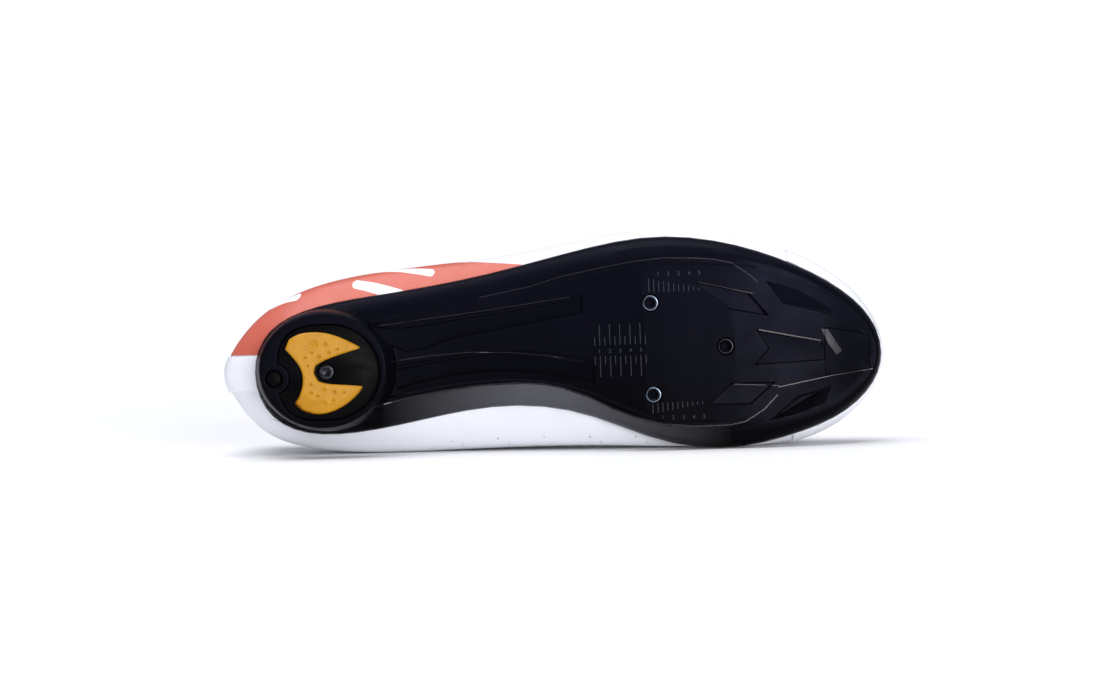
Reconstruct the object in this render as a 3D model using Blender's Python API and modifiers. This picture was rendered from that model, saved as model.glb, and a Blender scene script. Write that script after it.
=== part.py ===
"""A right cycling shoe lying on its inner side: stiff three-bolt sole, hollow upper, heel tread, straps."""

import math

import bmesh
import bpy
import numpy as np
from mathutils import Matrix, Vector
from mathutils.bvhtree import BVHTree

NAME = "cycling_shoe"

# Main sizes of the shoe in metres, +X to the toe, +Y to the inner side and +Z up, standing
SOLE_LENGTH = 0.280
BALL_WIDTH = 0.095
HEEL_LIFT = 0.022
COLLAR_HEIGHT = 0.097
WIDEST_RISE = 0.0145
WALL = 0.0030
GAP = 0.0003

# How far each outline of the shoe runs beyond the sole's edge, heel and toe
WIDEST_OVER = (0.0147, 0.0002)
TREAD_INSET = (0.004, 0.003)

# Sole
RAIL_WIDTH = 0.0018
RAIL_HEIGHT = 0.0007
RAIL_SPAN = (0.15, 0.76)
RAIL_FADE = 0.055
WALL_STEPS = 5
DISH_STEPS = 2
STATIONS = 38
RIM_WIDTH = 0.0030
FEATHER_INSET = 0.0008

# How far a cutter reaches past what it cuts
PAST = 0.010

# Heel tread: a plate in a recess of the heel block, with a rubber pad, a screw, and a plug behind
HEEL_LAND = 0.0025
RECESS_CENTRE = (0.0342, 0.0004)
RECESS = (0.0229, 0.0214)
RECESS_DEPTH = 0.0062
RECESS_SQUARE = 3.1
PLATE_SLOPE = 0.075
PLUG_BACK = 0.0245
PLUG_SIDE = 0.0021
PLUG_RADIUS = 0.0031
PLUG_GROOVE = 0.0008
PLUG_BOSS = 0.0068
PLUG_DEPTH = 0.004
SCREW_BACK = 0.0014
SCREW_RADIUS = 0.0035
SCREW_SOCKET = 0.0019
SCREW_HEAD = 0.0022
SOCKET_DEPTH = 0.0012
PAD_THICKNESS = 0.0024
PAD_BEVEL = 0.0008
PLUG_CENTRE = (RECESS_CENTRE[0] - PLUG_BACK, RECESS_CENTRE[1] + PLUG_SIDE)
SCREW_CENTRE = (RECESS_CENTRE[0] - SCREW_BACK, RECESS_CENTRE[1])

# Heel block round the recess and the plug: its rise in shares of HEEL_LIFT, its rim in shares of HEEL_RIM
HEEL_RIM = 0.0033
HEEL_SHIFT = 0.001
HEEL_COLUMNS = ("rise", "back", "front", "half")
HEEL_BLOCK = (
    (0.000, 0.73, 0.70, 1.00),
    (0.045, 1.03, 0.97, 1.30),
    (0.273, 1.39, 1.36, 1.58),
    (0.509, 1.61, 2.09, 1.76),
    (0.764, 1.76, 2.39, 1.82),
)

# Threaded inserts for a three-bolt cleat; the middle of the rear two lies at these shares of length and width
CLEAT_PLACE = (0.635, -0.0516)
CLEAT_LENGTH = 0.0326
CLEAT_SPAN = 0.0406
INSERT_RADIUS = 0.0036
INSERT_BORE = 0.0021
INSERT_LENGTH = 0.0045
INSERT_SINK = 0.0002

# Upper
THROAT_SHARE = 0.732
THROAT_ROUND = 0.016
THROAT_ARCH = 0.040
UPPER_LOW_STEPS = 4
UPPER_HIGH_STEPS = 8
OVERLAY = 0.001
TOE_CAP_START = 0.862
HEEL_STRIP_HALF = 0.0076
STRAP_WIDTH = 0.021
STRAP_THICKNESS = 0.0015
STRAP_LIFT = 0.0006
STRAP_ROUND = 0.09
INSOLE_THICKNESS = 0.003
INSOLE_CLEAR = 0.0004
INSOLE_EDGE = 0.0012
INSOLE_COVE = 0.007
TONGUE_THICKNESS = 0.003
TONGUE_DROP = 0.0017
THROAT_END = THROAT_SHARE * SOLE_LENGTH

# The share of the way from heel to toe, then shares of BALL_WIDTH across, of HEEL_LIFT up, and of WIDEST_RISE
SECTION_COLUMNS = (
    "share", "edge_outer", "edge_inner", "wide_outer", "wide_inner",
    "tread_outer", "tread_inner", "deck", "tread", "rise", "plate",
)
SECTIONS = (
    (0.000, 0.000, 0.000, 0.000, 0.000, 0.000, 0.000, 1.00, 0.62, 1.00, 0.150),
    (0.015, 0.157, 0.163, 0.119, 0.122, 0.095, 0.095, 1.00, 0.62, 1.00, 0.150),
    (0.055, 0.257, 0.263, 0.263, 0.272, 0.168, 0.163, 1.00, 0.62, 0.98, 0.150),
    (0.127, 0.321, 0.299, 0.387, 0.363, 0.211, 0.189, 1.00, 0.64, 0.96, 0.150),
    (0.235, 0.365, 0.262, 0.457, 0.395, 0.262, 0.139, 0.98, 0.65, 0.92, 0.210),
    (0.380, 0.434, 0.196, 0.499, 0.393, 0.329, 0.091, 0.90, 0.55, 0.85, 0.210),
    (0.525, 0.529, 0.244, 0.560, 0.392, 0.421, 0.155, 0.66, 0.24, 0.66, 0.220),
    (0.634, 0.576, 0.367, 0.611, 0.403, 0.466, 0.291, 0.50, 0.00, 0.50, 0.250),
    (0.743, 0.546, 0.422, 0.591, 0.417, 0.457, 0.317, 0.44, -0.02, 0.42, 0.245),
    (0.851, 0.443, 0.373, 0.499, 0.405, 0.395, 0.305, 0.52, 0.11, 0.44, 0.190),
    (0.924, 0.329, 0.294, 0.380, 0.326, 0.289, 0.242, 0.68, 0.28, 0.47, 0.160),
    (0.978, 0.186, 0.169, 0.212, 0.182, 0.158, 0.135, 0.82, 0.49, 0.50, 0.150),
    (1.000, 0.000, 0.000, 0.000, 0.000, 0.000, 0.000, 0.88, 0.58, 0.50, 0.150),
)

# Collar, throat and ridge at the same stations: shares of SOLE_LENGTH along, of BALL_WIDTH across and of
# COLLAR_HEIGHT up, and the slope in degrees
TOP_COLUMNS = ("share", "along", "half", "height", "slope")
TOP_LINE = (
    (0.000, -0.014, 0.000, 1.000, 86),
    (0.015, -0.006, 0.050, 0.995, 86),
    (0.055, 0.036, 0.135, 0.950, 84),
    (0.127, 0.130, 0.232, 0.842, 82),
    (0.235, 0.278, 0.268, 0.832, 76),
    (0.320, 0.371, 0.212, 0.985, 56),
    (0.380, 0.421, 0.170, 0.940, 38),
    (0.525, 0.560, 0.135, 0.752, 22),
    (0.634, 0.661, 0.115, 0.648, 18),
    (0.743, 0.757, 0.105, 0.580, 8),
    (0.851, 0.839, 0.100, 0.518, 3),
    (0.924, 0.886, 0.100, 0.473, 9),
    (0.978, 0.914, 0.100, 0.440, 18),
    (1.000, 0.921, 0.100, 0.430, 20),
)

# Long channels of the shank: along as a share of the way from heel recess to rear inserts, and across as shares
# of BALL_WIDTH, +Y to the inner side
CHANNEL_COLUMNS = ("along", "outer", "step", "inner")
CHANNELS = {
    "outer": (
        (-0.042, -0.217, -0.210, -0.195),
        (0.057, -0.223, -0.196, -0.087),
        (0.231, -0.238, -0.217, -0.118),
        (0.397, -0.260, -0.242, -0.155),
        (0.563, -0.286, -0.270, -0.190),
        (0.752, -0.322, -0.307, -0.228),
    ),
    "inner": (
        (0.054, -0.018, 0.000, 0.097),
        (0.190, -0.043, -0.027, 0.056),
        (0.314, -0.062, -0.047, 0.036),
        (0.438, -0.072, -0.057, 0.032),
        (0.554, -0.065, -0.050, 0.042),
        (0.679, -0.043, -0.027, 0.068),
        (0.788, -0.011, 0.006, 0.102),
    ),
}
CHANNEL_DEPTH = 0.0028
CHANNEL_STEP = 0.0012
CHANNEL_DRAFT = 0.0006
CHANNEL_STEPS = 12

# Pockets of the forefoot: corners in shares of SOLE_LENGTH along, of BALL_WIDTH across and of POCKET_DEPTH down;
# a depth below zero runs out of the surface
POCKET_COLUMNS = ("along", "across", "depth")
POCKETS = {
    "outer_pocket": (
        (0.706, -0.354, 0.13), (0.790, -0.299, 0.87), (0.821, -0.188, 1.00), (0.761, -0.221, 0.80),
    ),
    "inner_pocket": (
        (0.758, 0.120, 0.80), (0.828, 0.126, 0.87), (0.789, 0.223, 0.60), (0.721, 0.216, 0.13),
    ),
    "intake": (
        (0.801, -0.121, 1.00), (0.903, -0.063, 0.13), (0.924, 0.025, -0.13), (0.796, 0.039, 1.00),
        (0.819, -0.035, 1.00),
    ),
    "outer_groove": (
        (0.819, -0.347, 0.53), (0.844, -0.244, 0.67), (0.868, -0.223, 0.67), (0.936, -0.173, -0.13),
        (0.914, -0.230, -0.13), (0.857, -0.316, -0.13),
    ),
    "inner_groove": (
        (0.818, 0.300, 0.47), (0.863, 0.192, 0.67), (0.895, 0.172, 0.60), (0.925, 0.141, -0.13),
        (0.916, 0.220, -0.13), (0.857, 0.276, -0.13),
    ),
}
POCKET_DEPTH = 0.003
POCKET_DRAFT = 0.0004

# Raised centre of the toe: shares of SOLE_LENGTH along, and of BALL_WIDTH to its outer and inner side
TOE_PLATE_COLUMNS = ("along", "outer", "inner")
TOE_PLATE = (
    (0.909, -0.123, 0.098),
    (0.929, -0.114, 0.094),
    (0.948, -0.103, 0.087),
    (0.966, -0.093, 0.082),
    (0.980, -0.084, 0.078),
)
TOE_PLATE_HEIGHT = 0.0009
TOE_PLATE_ROOT = 0.002

# Outline of the heel pad from the middle of the recess, in shares of its half length and half width
PAD_OUTLINE = (
    (-0.825, -0.500), (-0.742, -0.706), (-0.555, -0.827), (-0.262, -0.846), (0.013, -0.813), (0.319, -0.682),
    (0.611, -0.505), (0.611, -0.467), (0.275, -0.374), (-0.087, -0.252), (-0.253, -0.140), (-0.288, 0.009),
    (-0.210, 0.178), (-0.039, 0.248), (0.288, 0.271), (0.655, 0.313), (0.607, 0.430), (0.341, 0.682),
    (0.009, 0.855), (-0.288, 0.879), (-0.546, 0.785), (-0.664, 0.645), (-0.659, 0.589), (-0.550, 0.444),
    (-0.489, 0.173), (-0.515, -0.065), (-0.638, -0.276),
)

# Straps: where each crosses the ridge in shares of SOLE_LENGTH, its width in shares of STRAP_WIDTH, and how far
# down each side it runs in shares of the top's profile
STRAP_COLUMNS = ("name", "along", "width", "outer_end", "inner_end")
STRAPS = (
    ("strap_lower", 0.671, 0.714, 0.40, 0.84),
    ("strap_middle", 0.564, 0.762, 0.42, 0.84),
    ("strap_upper", 0.446, 1.000, 0.44, 0.84),
)
STRAP_LINES = 6

# Tongue's head above the collar: shares of SOLE_LENGTH along, of BALL_WIDTH across and of COLLAR_HEIGHT up
TONGUE_COLUMNS = ("along", "half", "height")
TONGUE_HEAD = (
    (0.295, 0.158, 1.253),
    (0.307, 0.205, 1.211),
    (0.332, 0.211, 1.139),
    (0.371, 0.158, 1.052),
)
TONGUE_LAP = 0.11
TONGUE_START = 0.414
TONGUE_REACH = 0.004
TONGUE_STEPS = 11

COLOURS = {
    "outsole": ("carbon", (0.010, 0.011, 0.016, 1), 0.35),
    "heel_plate": ("black plastic", (0.012, 0.012, 0.014, 1), 0.45),
    "heel_pad": ("amber rubber", (0.74, 0.36, 0.05, 1), 0.55),
    "steel": ("steel", (0.60, 0.62, 0.64, 1), 0.30),
    "upper": ("coated fabric", (0.88, 0.89, 0.93, 1), 0.40),
    "overlay": ("smooth film", (0.90, 0.91, 0.95, 1), 0.30),
    "lining": ("knit lining", (0.030, 0.030, 0.034, 1), 0.90),
    "strap": ("strap fabric", (0.85, 0.86, 0.90, 1), 0.50),
}


def column(rows, names, name):
    """One named column of a table."""
    place = names.index(name)
    return [row[place] for row in rows]


def turn_of(share):
    """The station of a share of the length: even steps of it crowd together at heel and toe."""
    return math.acos(1 - 2 * min(max(share, 0), 1)) / math.pi


def share_of(turn):
    """The share of the length at a station."""
    return (1 - math.cos(math.pi * turn)) / 2


def spline(places, values, level):
    """A smooth cubic through values; level ends have no slope, the others no bend."""
    x = np.array(places, float)
    y = np.array(values, float)
    step = np.diff(x)
    rise = np.diff(y) / step
    count = len(x)
    matrix = np.zeros((count, count))
    right = np.zeros(count)
    for i in range(1, count - 1):
        matrix[i, i - 1 : i + 2] = step[i - 1], 2 * (step[i - 1] + step[i]), step[i]
        right[i] = 6 * (rise[i] - rise[i - 1])
    matrix[0, 0] = matrix[-1, -1] = 1
    if level:
        matrix[0, :2] = 2 * step[0], step[0]
        right[0] = 6 * rise[0]
        matrix[-1, -2:] = step[-1], 2 * step[-1]
        right[-1] = -6 * rise[-1]
    bend = np.linalg.solve(matrix, right)

    def value(place):
        i = min(max(int(np.searchsorted(x, place)) - 1, 0), count - 2)
        a = (x[i + 1] - place) / step[i]
        b = (place - x[i]) / step[i]
        curve = (a**3 - a) * bend[i] + (b**3 - b) * bend[i + 1]
        return float(a * y[i] + b * y[i + 1] + curve * step[i] ** 2 / 6)

    return value


LEVEL_COLUMNS = ("deck", "tread", "rise", "plate")
SECTION_TURNS = [turn_of(s) for s in column(SECTIONS, SECTION_COLUMNS, "share")]
TOP_TURNS = [turn_of(s) for s in column(TOP_LINE, TOP_COLUMNS, "share")]
TRACKS = {
    name: spline(SECTION_TURNS, column(SECTIONS, SECTION_COLUMNS, name), name in LEVEL_COLUMNS)
    for name in SECTION_COLUMNS[1:]
}
TOP = {
    name: spline(TOP_TURNS, column(TOP_LINE, TOP_COLUMNS, name), name != "half")
    for name in TOP_COLUMNS[1:]
}
OUTER, INNER = -1, 1

# How far a face of the hull must look to the inner side to count as that side
SIDE_FACING = 0.7


def smooth_step(value, low, high):
    """0 below low, 1 above high, and an even rise between."""
    part = min(max((value - low) / (high - low), 0), 1)
    return part * part * (3 - 2 * part)


def deck(turn):
    """Height of the sole's top."""
    return HEEL_LIFT * TRACKS["deck"](turn)


def tread(turn):
    """Height of the sole's underside, flat on the ground under the ball."""
    return HEEL_LIFT * max(TRACKS["tread"](turn), 0)


def dish(turn):
    """Height of the floor inside the sole's rim."""
    return tread(turn) + HEEL_LIFT * TRACKS["plate"](turn)


def loop_point(turn, side, kind):
    """A point of the sole's edge, the upper's widest line or the underside's crease."""
    over = {"edge": (0, 0), "wide": WIDEST_OVER, "tread": (-TREAD_INSET[0], -TREAD_INSET[1])}[kind]
    along = -over[0] + (SOLE_LENGTH + over[0] + over[1]) * share_of(turn)
    across = side * BALL_WIDTH * max(TRACKS[f"{kind}_{'inner' if side == INNER else 'outer'}"](turn), 0)
    height = {
        "edge": deck(turn),
        "wide": deck(turn) + WIDEST_RISE * TRACKS["rise"](turn),
        "tread": tread(turn),
    }[kind]
    return Vector((along, across, height))


def outward(turn, side, kind):
    """The level normal of a loop, away from the shoe."""
    step = 0.004
    low, high = max(turn - step, 0), min(turn + step, 1)
    if turn < step or turn > 1 - step:
        return Vector((-1 if turn < 0.5 else 1, 0, 0))
    run = loop_point(high, side, kind) - loop_point(low, side, kind)
    return Vector((-side * run.y, side * run.x, 0)).normalized()


def feather(turn, side, inset=FEATHER_INSET, lift=GAP):
    """A point inside the sole's edge, just above its top."""
    return loop_point(turn, side, "edge") - outward(turn, side, "edge") * inset + Vector((0, 0, lift))


def throat_half(turn):
    """Half the width of the collar or throat, closing in a round end over the instep."""
    along = SOLE_LENGTH * TOP["along"](turn)
    if along >= THROAT_END - 1e-6:
        return 0.0
    half = BALL_WIDTH * max(TOP["half"](turn), 0)
    start = THROAT_END - THROAT_ROUND
    if along > start:
        half *= math.sqrt(1 - ((along - start) / THROAT_ROUND) ** 2)
    return half


def top_point(turn, side):
    """A point of the collar, the throat's edge or the ridge."""
    half = throat_half(turn)
    arch = BALL_WIDTH * max(TOP["half"](turn), 0)
    along = SOLE_LENGTH * TOP["along"](turn)
    closing = along > THROAT_END - THROAT_ROUND
    extra = (arch**2 - half**2) / (2 * THROAT_ARCH) if closing else 0
    return Vector((along, side * half, COLLAR_HEIGHT * TOP["height"](turn) + extra))


def bezier(points, part):
    """A point of a cubic curve through its four controls."""
    rest = 1 - part
    weights = rest**3, 3 * rest**2 * part, 3 * rest * part**2, part**3
    return sum((p * w for p, w in zip(points, weights)), Vector())


def low_profile(turn, side, part):
    """The upper from the sole to its widest line."""
    start, end = feather(turn, side), loop_point(turn, side, "wide")
    rise = end.z - start.z
    over = Vector((end.x - start.x, end.y - start.y, 0))
    leave = start + over * 0.5 + Vector((0, 0, rise * 0.3))
    return bezier((start, leave, end - Vector((0, 0, rise * 0.4)), end), part)


def high_profile(turn, side, part):
    """The upper from its widest line to the collar, throat or ridge."""
    start, end = loop_point(turn, side, "wide"), top_point(turn, side)
    reach = Vector((end.x - start.x, end.y - start.y, 0))
    slope = math.radians(max(TOP["slope"](turn), 0))
    arrive = reach.normalized() * math.cos(slope) + Vector((0, 0, math.sin(slope)))
    chord = (end - start).length
    rise = end.z - start.z
    return bezier((start, start + Vector((0, 0, rise * 0.55)), end - arrive * chord * 0.42, end), part)


def new_collection(name, parent, hidden=False):
    made = bpy.data.collections.new(name)
    parent.children.link(made)
    made.hide_render = hidden
    return made


def new_object(name, mesh_data, collection):
    """An object from a bmesh, with its faces turned outward."""
    bmesh.ops.remove_doubles(mesh_data, verts=mesh_data.verts, dist=1e-6)
    bmesh.ops.dissolve_degenerate(mesh_data, edges=mesh_data.edges, dist=1e-7)
    bmesh.ops.recalc_face_normals(mesh_data, faces=mesh_data.faces)
    mesh = bpy.data.meshes.new(name)
    mesh_data.to_mesh(mesh)
    mesh_data.free()
    made = bpy.data.objects.new(name, mesh)
    collection.objects.link(made)
    return made


def loft(rings, closed=False, capped=True):
    """Faces between rings of points; each ring may be closed, and the first and last capped."""
    shape = bmesh.new()
    rows = [[shape.verts.new(point) for point in ring] for ring in rings]
    count = len(rings[0])
    last = count if closed else count - 1
    for low, high in zip(rows, rows[1:]):
        for i in range(last):
            j = (i + 1) % count
            shape.faces.new((low[i], low[j], high[j], high[i]))
    if capped:
        shape.faces.new(rows[0])
        shape.faces.new(list(reversed(rows[-1])))
    return shape


def prism(low_points, high_points):
    """A solid between two outlines with the same number of corners."""
    return loft([low_points, high_points], closed=True)


def modified(thing, kind, name, **settings):
    """Add a modifier with its settings and apply it."""
    modifier = thing.modifiers.new(name, kind)
    for key, value in settings.items():
        setattr(modifier, key, value)
    graph = bpy.context.evaluated_depsgraph_get()
    graph.update()
    mesh = bpy.data.meshes.new_from_object(thing.evaluated_get(graph))
    thing.modifiers.remove(modifier)
    old = thing.data
    thing.data = mesh
    bpy.data.meshes.remove(old)
    mesh.name = thing.name
    return thing


def combined(body, tool, operation):
    """Cut a tool out of a body, or join it on."""
    return modified(body, "BOOLEAN", tool.name, object=tool, operation=operation, solver="EXACT")


def ring_of(turns, point):
    """Points round the shoe: up the outer side from heel to toe, and back down the inner side."""
    outer = [point(turn, OUTER) for turn in turns]
    inner = [point(turn, INNER) for turn in reversed(turns[1:-1])]
    return outer + inner


def bridge_halves(shape, ring, count):
    """Close a ring by strips straight across the shoe."""
    total = len(ring)
    for i in range(count):
        a, b = ring[i], ring[i + 1]
        c, d = ring[(total - i - 1) % total], ring[(total - i) % total]
        corners = []
        for vertex in (a, b, c, d):
            if vertex not in corners:
                corners.append(vertex)
        if len(corners) > 2:
            shape.faces.new(corners)


def slab(turns, rings):
    """A solid from rings round the shoe, its first and last ring closed straight across."""
    shape = bmesh.new()
    rows = [[shape.verts.new(point) for point in ring] for ring in rings]
    count = len(rows[0])
    for low, high in zip(rows, rows[1:]):
        for i in range(count):
            j = (i + 1) % count
            shape.faces.new((low[i], low[j], high[j], high[i]))
    for ring in (rows[0], rows[-1]):
        bridge_halves(shape, ring, len(turns) - 1)
    return shape


def wall_point(turn, side, part):
    """The sole's side, a quarter of an ellipse from its edge to the underside."""
    edge, crease = loop_point(turn, side, "edge"), loop_point(turn, side, "tread")
    angle = part * math.pi / 2
    out, down = math.cos(angle), math.sin(angle)
    return Vector((
        crease.x + (edge.x - crease.x) * out,
        crease.y + (edge.y - crease.y) * out,
        edge.z + (crease.z - edge.z) * down,
    ))


def dish_point(turn, side, part, inset=0.0):
    """The inside of the sole's side, down from its rim to the floor of the dish."""
    rim = loop_point(turn, side, "edge") - outward(turn, side, "edge") * (RIM_WIDTH + inset)
    foot = loop_point(turn, side, "tread") - outward(turn, side, "tread") * (RAIL_WIDTH + inset)
    angle = part * math.pi / 2
    out, down = math.cos(angle), math.sin(angle)
    return Vector((
        foot.x + (rim.x - foot.x) * out,
        foot.y + (rim.y - foot.y) * out,
        rim.z + (dish(turn) - rim.z) * down,
    ))


def rail_point(turn, side, width, drop):
    """The raised rail inside the crease; it dies away before the heel and the toe."""
    share = share_of(turn)
    begin, end = RAIL_SPAN
    strength = smooth_step(share, begin, begin + RAIL_FADE) * (1 - smooth_step(share, end - RAIL_FADE, end))
    point = loop_point(turn, side, "tread") - outward(turn, side, "tread") * width
    point.z += -RAIL_HEIGHT * strength * (1 - drop)
    return point


def make_outsole_body(collection):
    """The sole without its heel block and its cuts."""
    turns = [i / STATIONS for i in range(STATIONS + 1)]
    parts = [i / WALL_STEPS for i in range(WALL_STEPS)]
    rings = [ring_of(turns, lambda t, s, p=part: wall_point(t, s, p)) for part in parts]
    rings.append(ring_of(turns, lambda t, s: rail_point(t, s, 0, 0)))
    rings.append(ring_of(turns, lambda t, s: rail_point(t, s, RAIL_WIDTH, 0)))
    rings.append(ring_of(turns, lambda t, s: rail_point(t, s, RAIL_WIDTH + RAIL_HEIGHT, 1)))
    return new_object("outsole", slab(turns, rings), collection)


def make_dish_tool(collection):
    """The room inside the sole's rim."""
    turns = [i / STATIONS for i in range(STATIONS + 1)]
    parts = [i / DISH_STEPS for i in range(DISH_STEPS, -1, -1)]
    rings = [ring_of(turns, lambda t, s, p=part: dish_point(t, s, p)) for part in parts]
    rings.append([point + Vector((0, 0, HEEL_LIFT)) for point in rings[-1]])
    return new_object("dish", slab(turns, rings), collection)


def oval(centre, radii, height, count=44):
    """Points of a level ellipse."""
    points = []
    for i in range(count):
        angle = 2 * math.pi * i / count
        across = centre[1] + radii[1] * math.sin(angle)
        points.append(Vector((centre[0] + radii[0] * math.cos(angle), across, height)))
    return points


def disc(name, centre, radius, low, high, collection, count=20):
    """An upright cylinder."""
    shape = prism(oval(centre, (radius, radius), low, count), oval(centre, (radius, radius), high, count))
    return new_object(name, shape, collection)


def plate_height(along):
    """Outer face of the heel plate: level with the heel's land behind, deeper in front."""
    return HEEL_LAND + PLATE_SLOPE * max(along - (RECESS_CENTRE[0] - RECESS[0]), 0)


def recess_outline(shrink, height, count=48):
    """Points of the heel recess: an oval, squarer at the back."""
    points = []
    for i in range(count):
        angle = 2 * math.pi * i / count
        across, along = math.sin(angle), math.cos(angle)
        power = 2 if along > 0 else RECESS_SQUARE
        size = (abs(across) ** power + abs(along) ** power) ** (-1 / power)
        points.append(Vector((
            RECESS_CENTRE[0] + (RECESS[0] - shrink) * along * size,
            RECESS_CENTRE[1] + (RECESS[1] - shrink) * across * size,
            height,
        )))
    return points


def recess_tool(name, shrink, low, high, collection, cutters):
    """The oval of the heel recess less the boss round its plug."""
    body = new_object(name, prism(recess_outline(shrink, low), recess_outline(shrink, high)), collection)
    boss = disc(f"{name}_boss", PLUG_CENTRE, PLUG_BOSS + shrink, low - PAST, high + PAST, cutters, 28)
    return combined(body, boss, "DIFFERENCE")


def surface_height(tree, along, across):
    """Height of the sole's underside over a place on the ground."""
    hit = tree.ray_cast(Vector((along, across, -PAST)), Vector((0, 0, 1)))[0]
    return hit.z if hit else HEEL_LIFT


def pocket_tool(name, tree, corners, collection):
    """A cutter whose floor lies at each corner's own depth in the underside."""
    places = [Vector((SOLE_LENGTH * along, BALL_WIDTH * across, 0)) for along, across, _ in corners]
    middle = sum(places, Vector()) / len(places)
    low, high = [], []
    for place, depth in zip(places, column(corners, POCKET_COLUMNS, "depth")):
        inward = (middle - place).normalized() * POCKET_DRAFT
        surface = Vector((0, 0, surface_height(tree, place.x, place.y)))
        high.append(place + inward + surface + Vector((0, 0, POCKET_DEPTH * depth)))
        low.append(place - inward + surface - Vector((0, 0, PAST / 2)))
    return new_object(name, prism(low, high), collection)


def channel_tool(name, rows, from_column, depth, collection):
    """A cutter along the shank whose floor follows the underside at one depth."""
    back = RECESS_CENTRE[0] + RECESS[0]
    shank = SOLE_LENGTH * CLEAT_PLACE[0] - back
    places = [back + shank * share for share in column(rows, CHANNEL_COLUMNS, "along")]
    sides = {
        key: spline(places, [BALL_WIDTH * share for share in column(rows, CHANNEL_COLUMNS, key)], False)
        for key in CHANNEL_COLUMNS[1:]
    }
    rings = []
    for i in range(CHANNEL_STEPS + 1):
        along = places[0] + (places[-1] - places[0]) * i / CHANNEL_STEPS
        share = (along - TREAD_INSET[0]) / (SOLE_LENGTH - sum(TREAD_INSET))
        floor = tread(turn_of(share)) + depth
        outer, inner = sides[from_column](along), sides["inner"](along)
        rings.append([
            Vector((along, outer - CHANNEL_DRAFT, floor - depth - PAST)),
            Vector((along, inner + CHANNEL_DRAFT, floor - depth - PAST)),
            Vector((along, inner - CHANNEL_DRAFT, floor)),
            Vector((along, outer + CHANNEL_DRAFT, floor)),
        ])
    return new_object(name, loft(rings, closed=True), collection)


def make_heel_block(cutters):
    """The solid round the heel recess and the plug."""
    rings = []
    for row in HEEL_BLOCK:
        rise, back, front, half = (row[HEEL_COLUMNS.index(name)] for name in HEEL_COLUMNS)
        low = PLUG_CENTRE[0] - PLUG_RADIUS - HEEL_RIM * back
        high = RECESS_CENTRE[0] + RECESS[0] + HEEL_RIM * front
        radii = (high - low) / 2, RECESS[1] + HEEL_RIM * half
        centre = (low + high) / 2, RECESS_CENTRE[1] - HEEL_SHIFT
        rings.append(oval(centre, radii, HEEL_LAND + HEEL_LIFT * rise))
    return new_object("heel_block", loft(rings, closed=True), cutters)


def make_toe_plate(tree, cutters):
    """The raised centre of the toe, following the underside."""
    rings = []
    for share, outer_share, inner_share in TOE_PLATE:
        along, outer, inner = SOLE_LENGTH * share, BALL_WIDTH * outer_share, BALL_WIDTH * inner_share
        places = [outer, outer / 2, 0, inner / 2, inner]
        under = [Vector((along, y, surface_height(tree, along, y) - TOE_PLATE_HEIGHT)) for y in places]
        over = [Vector((along, y, surface_height(tree, along, y) + TOE_PLATE_ROOT)) for y in (inner, outer)]
        rings.append(under + over)
    return new_object("toe_plate", loft(rings, closed=True), cutters)


def make_outsole(collection, cutters):
    """The stiff sole: heel block, channels, pockets, toe plate and bores."""
    sole = make_outsole_body(collection)
    combined(sole, make_heel_block(cutters), "UNION")
    tree = BVHTree.FromObject(sole, bpy.context.evaluated_depsgraph_get())
    for name, rows in CHANNELS.items():
        combined(sole, channel_tool(f"{name}_channel", rows, "outer", CHANNEL_STEP, cutters), "DIFFERENCE")
        combined(sole, channel_tool(f"{name}_channel_deep", rows, "step", CHANNEL_DEPTH, cutters), "DIFFERENCE")
    for name, corners in POCKETS.items():
        combined(sole, pocket_tool(name, tree, corners, cutters), "DIFFERENCE")
    combined(sole, make_toe_plate(tree, cutters), "UNION")
    recess = recess_tool("heel_recess", 0, -PAST, HEEL_LAND + RECESS_DEPTH, cutters, cutters)
    combined(sole, recess, "DIFFERENCE")
    hole = disc("plug_hole", PLUG_CENTRE, PLUG_RADIUS + PLUG_GROOVE, -PAST, HEEL_LAND + PLUG_DEPTH, cutters)
    combined(sole, hole, "DIFFERENCE")
    for place in insert_places().values():
        seat = INSERT_SINK + INSERT_LENGTH + GAP
        bore = disc("insert_hole", place, INSERT_RADIUS + GAP, -PAST, seat, cutters)
        combined(sole, bore, "DIFFERENCE")
    return combined(sole, make_dish_tool(cutters), "DIFFERENCE")


def insert_places():
    """Where the three cleat bolts go."""
    rear, middle = SOLE_LENGTH * CLEAT_PLACE[0], BALL_WIDTH * CLEAT_PLACE[1]
    return {
        "cleat_insert_outer": (rear, middle - CLEAT_SPAN / 2),
        "cleat_insert_inner": (rear, middle + CLEAT_SPAN / 2),
        "cleat_insert_front": (rear + CLEAT_LENGTH, middle),
    }


def make_inserts(collection, cutters):
    """Threaded sleeves, a little below the cleat's face."""
    made = []
    for name, place in insert_places().items():
        body = disc(name, place, INSERT_RADIUS, INSERT_SINK, INSERT_SINK + INSERT_LENGTH, collection)
        bore = disc(f"{name}_bore", place, INSERT_BORE, -PAST, INSERT_LENGTH + PAST, cutters)
        made.append(combined(body, bore, "DIFFERENCE"))
    return made


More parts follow.
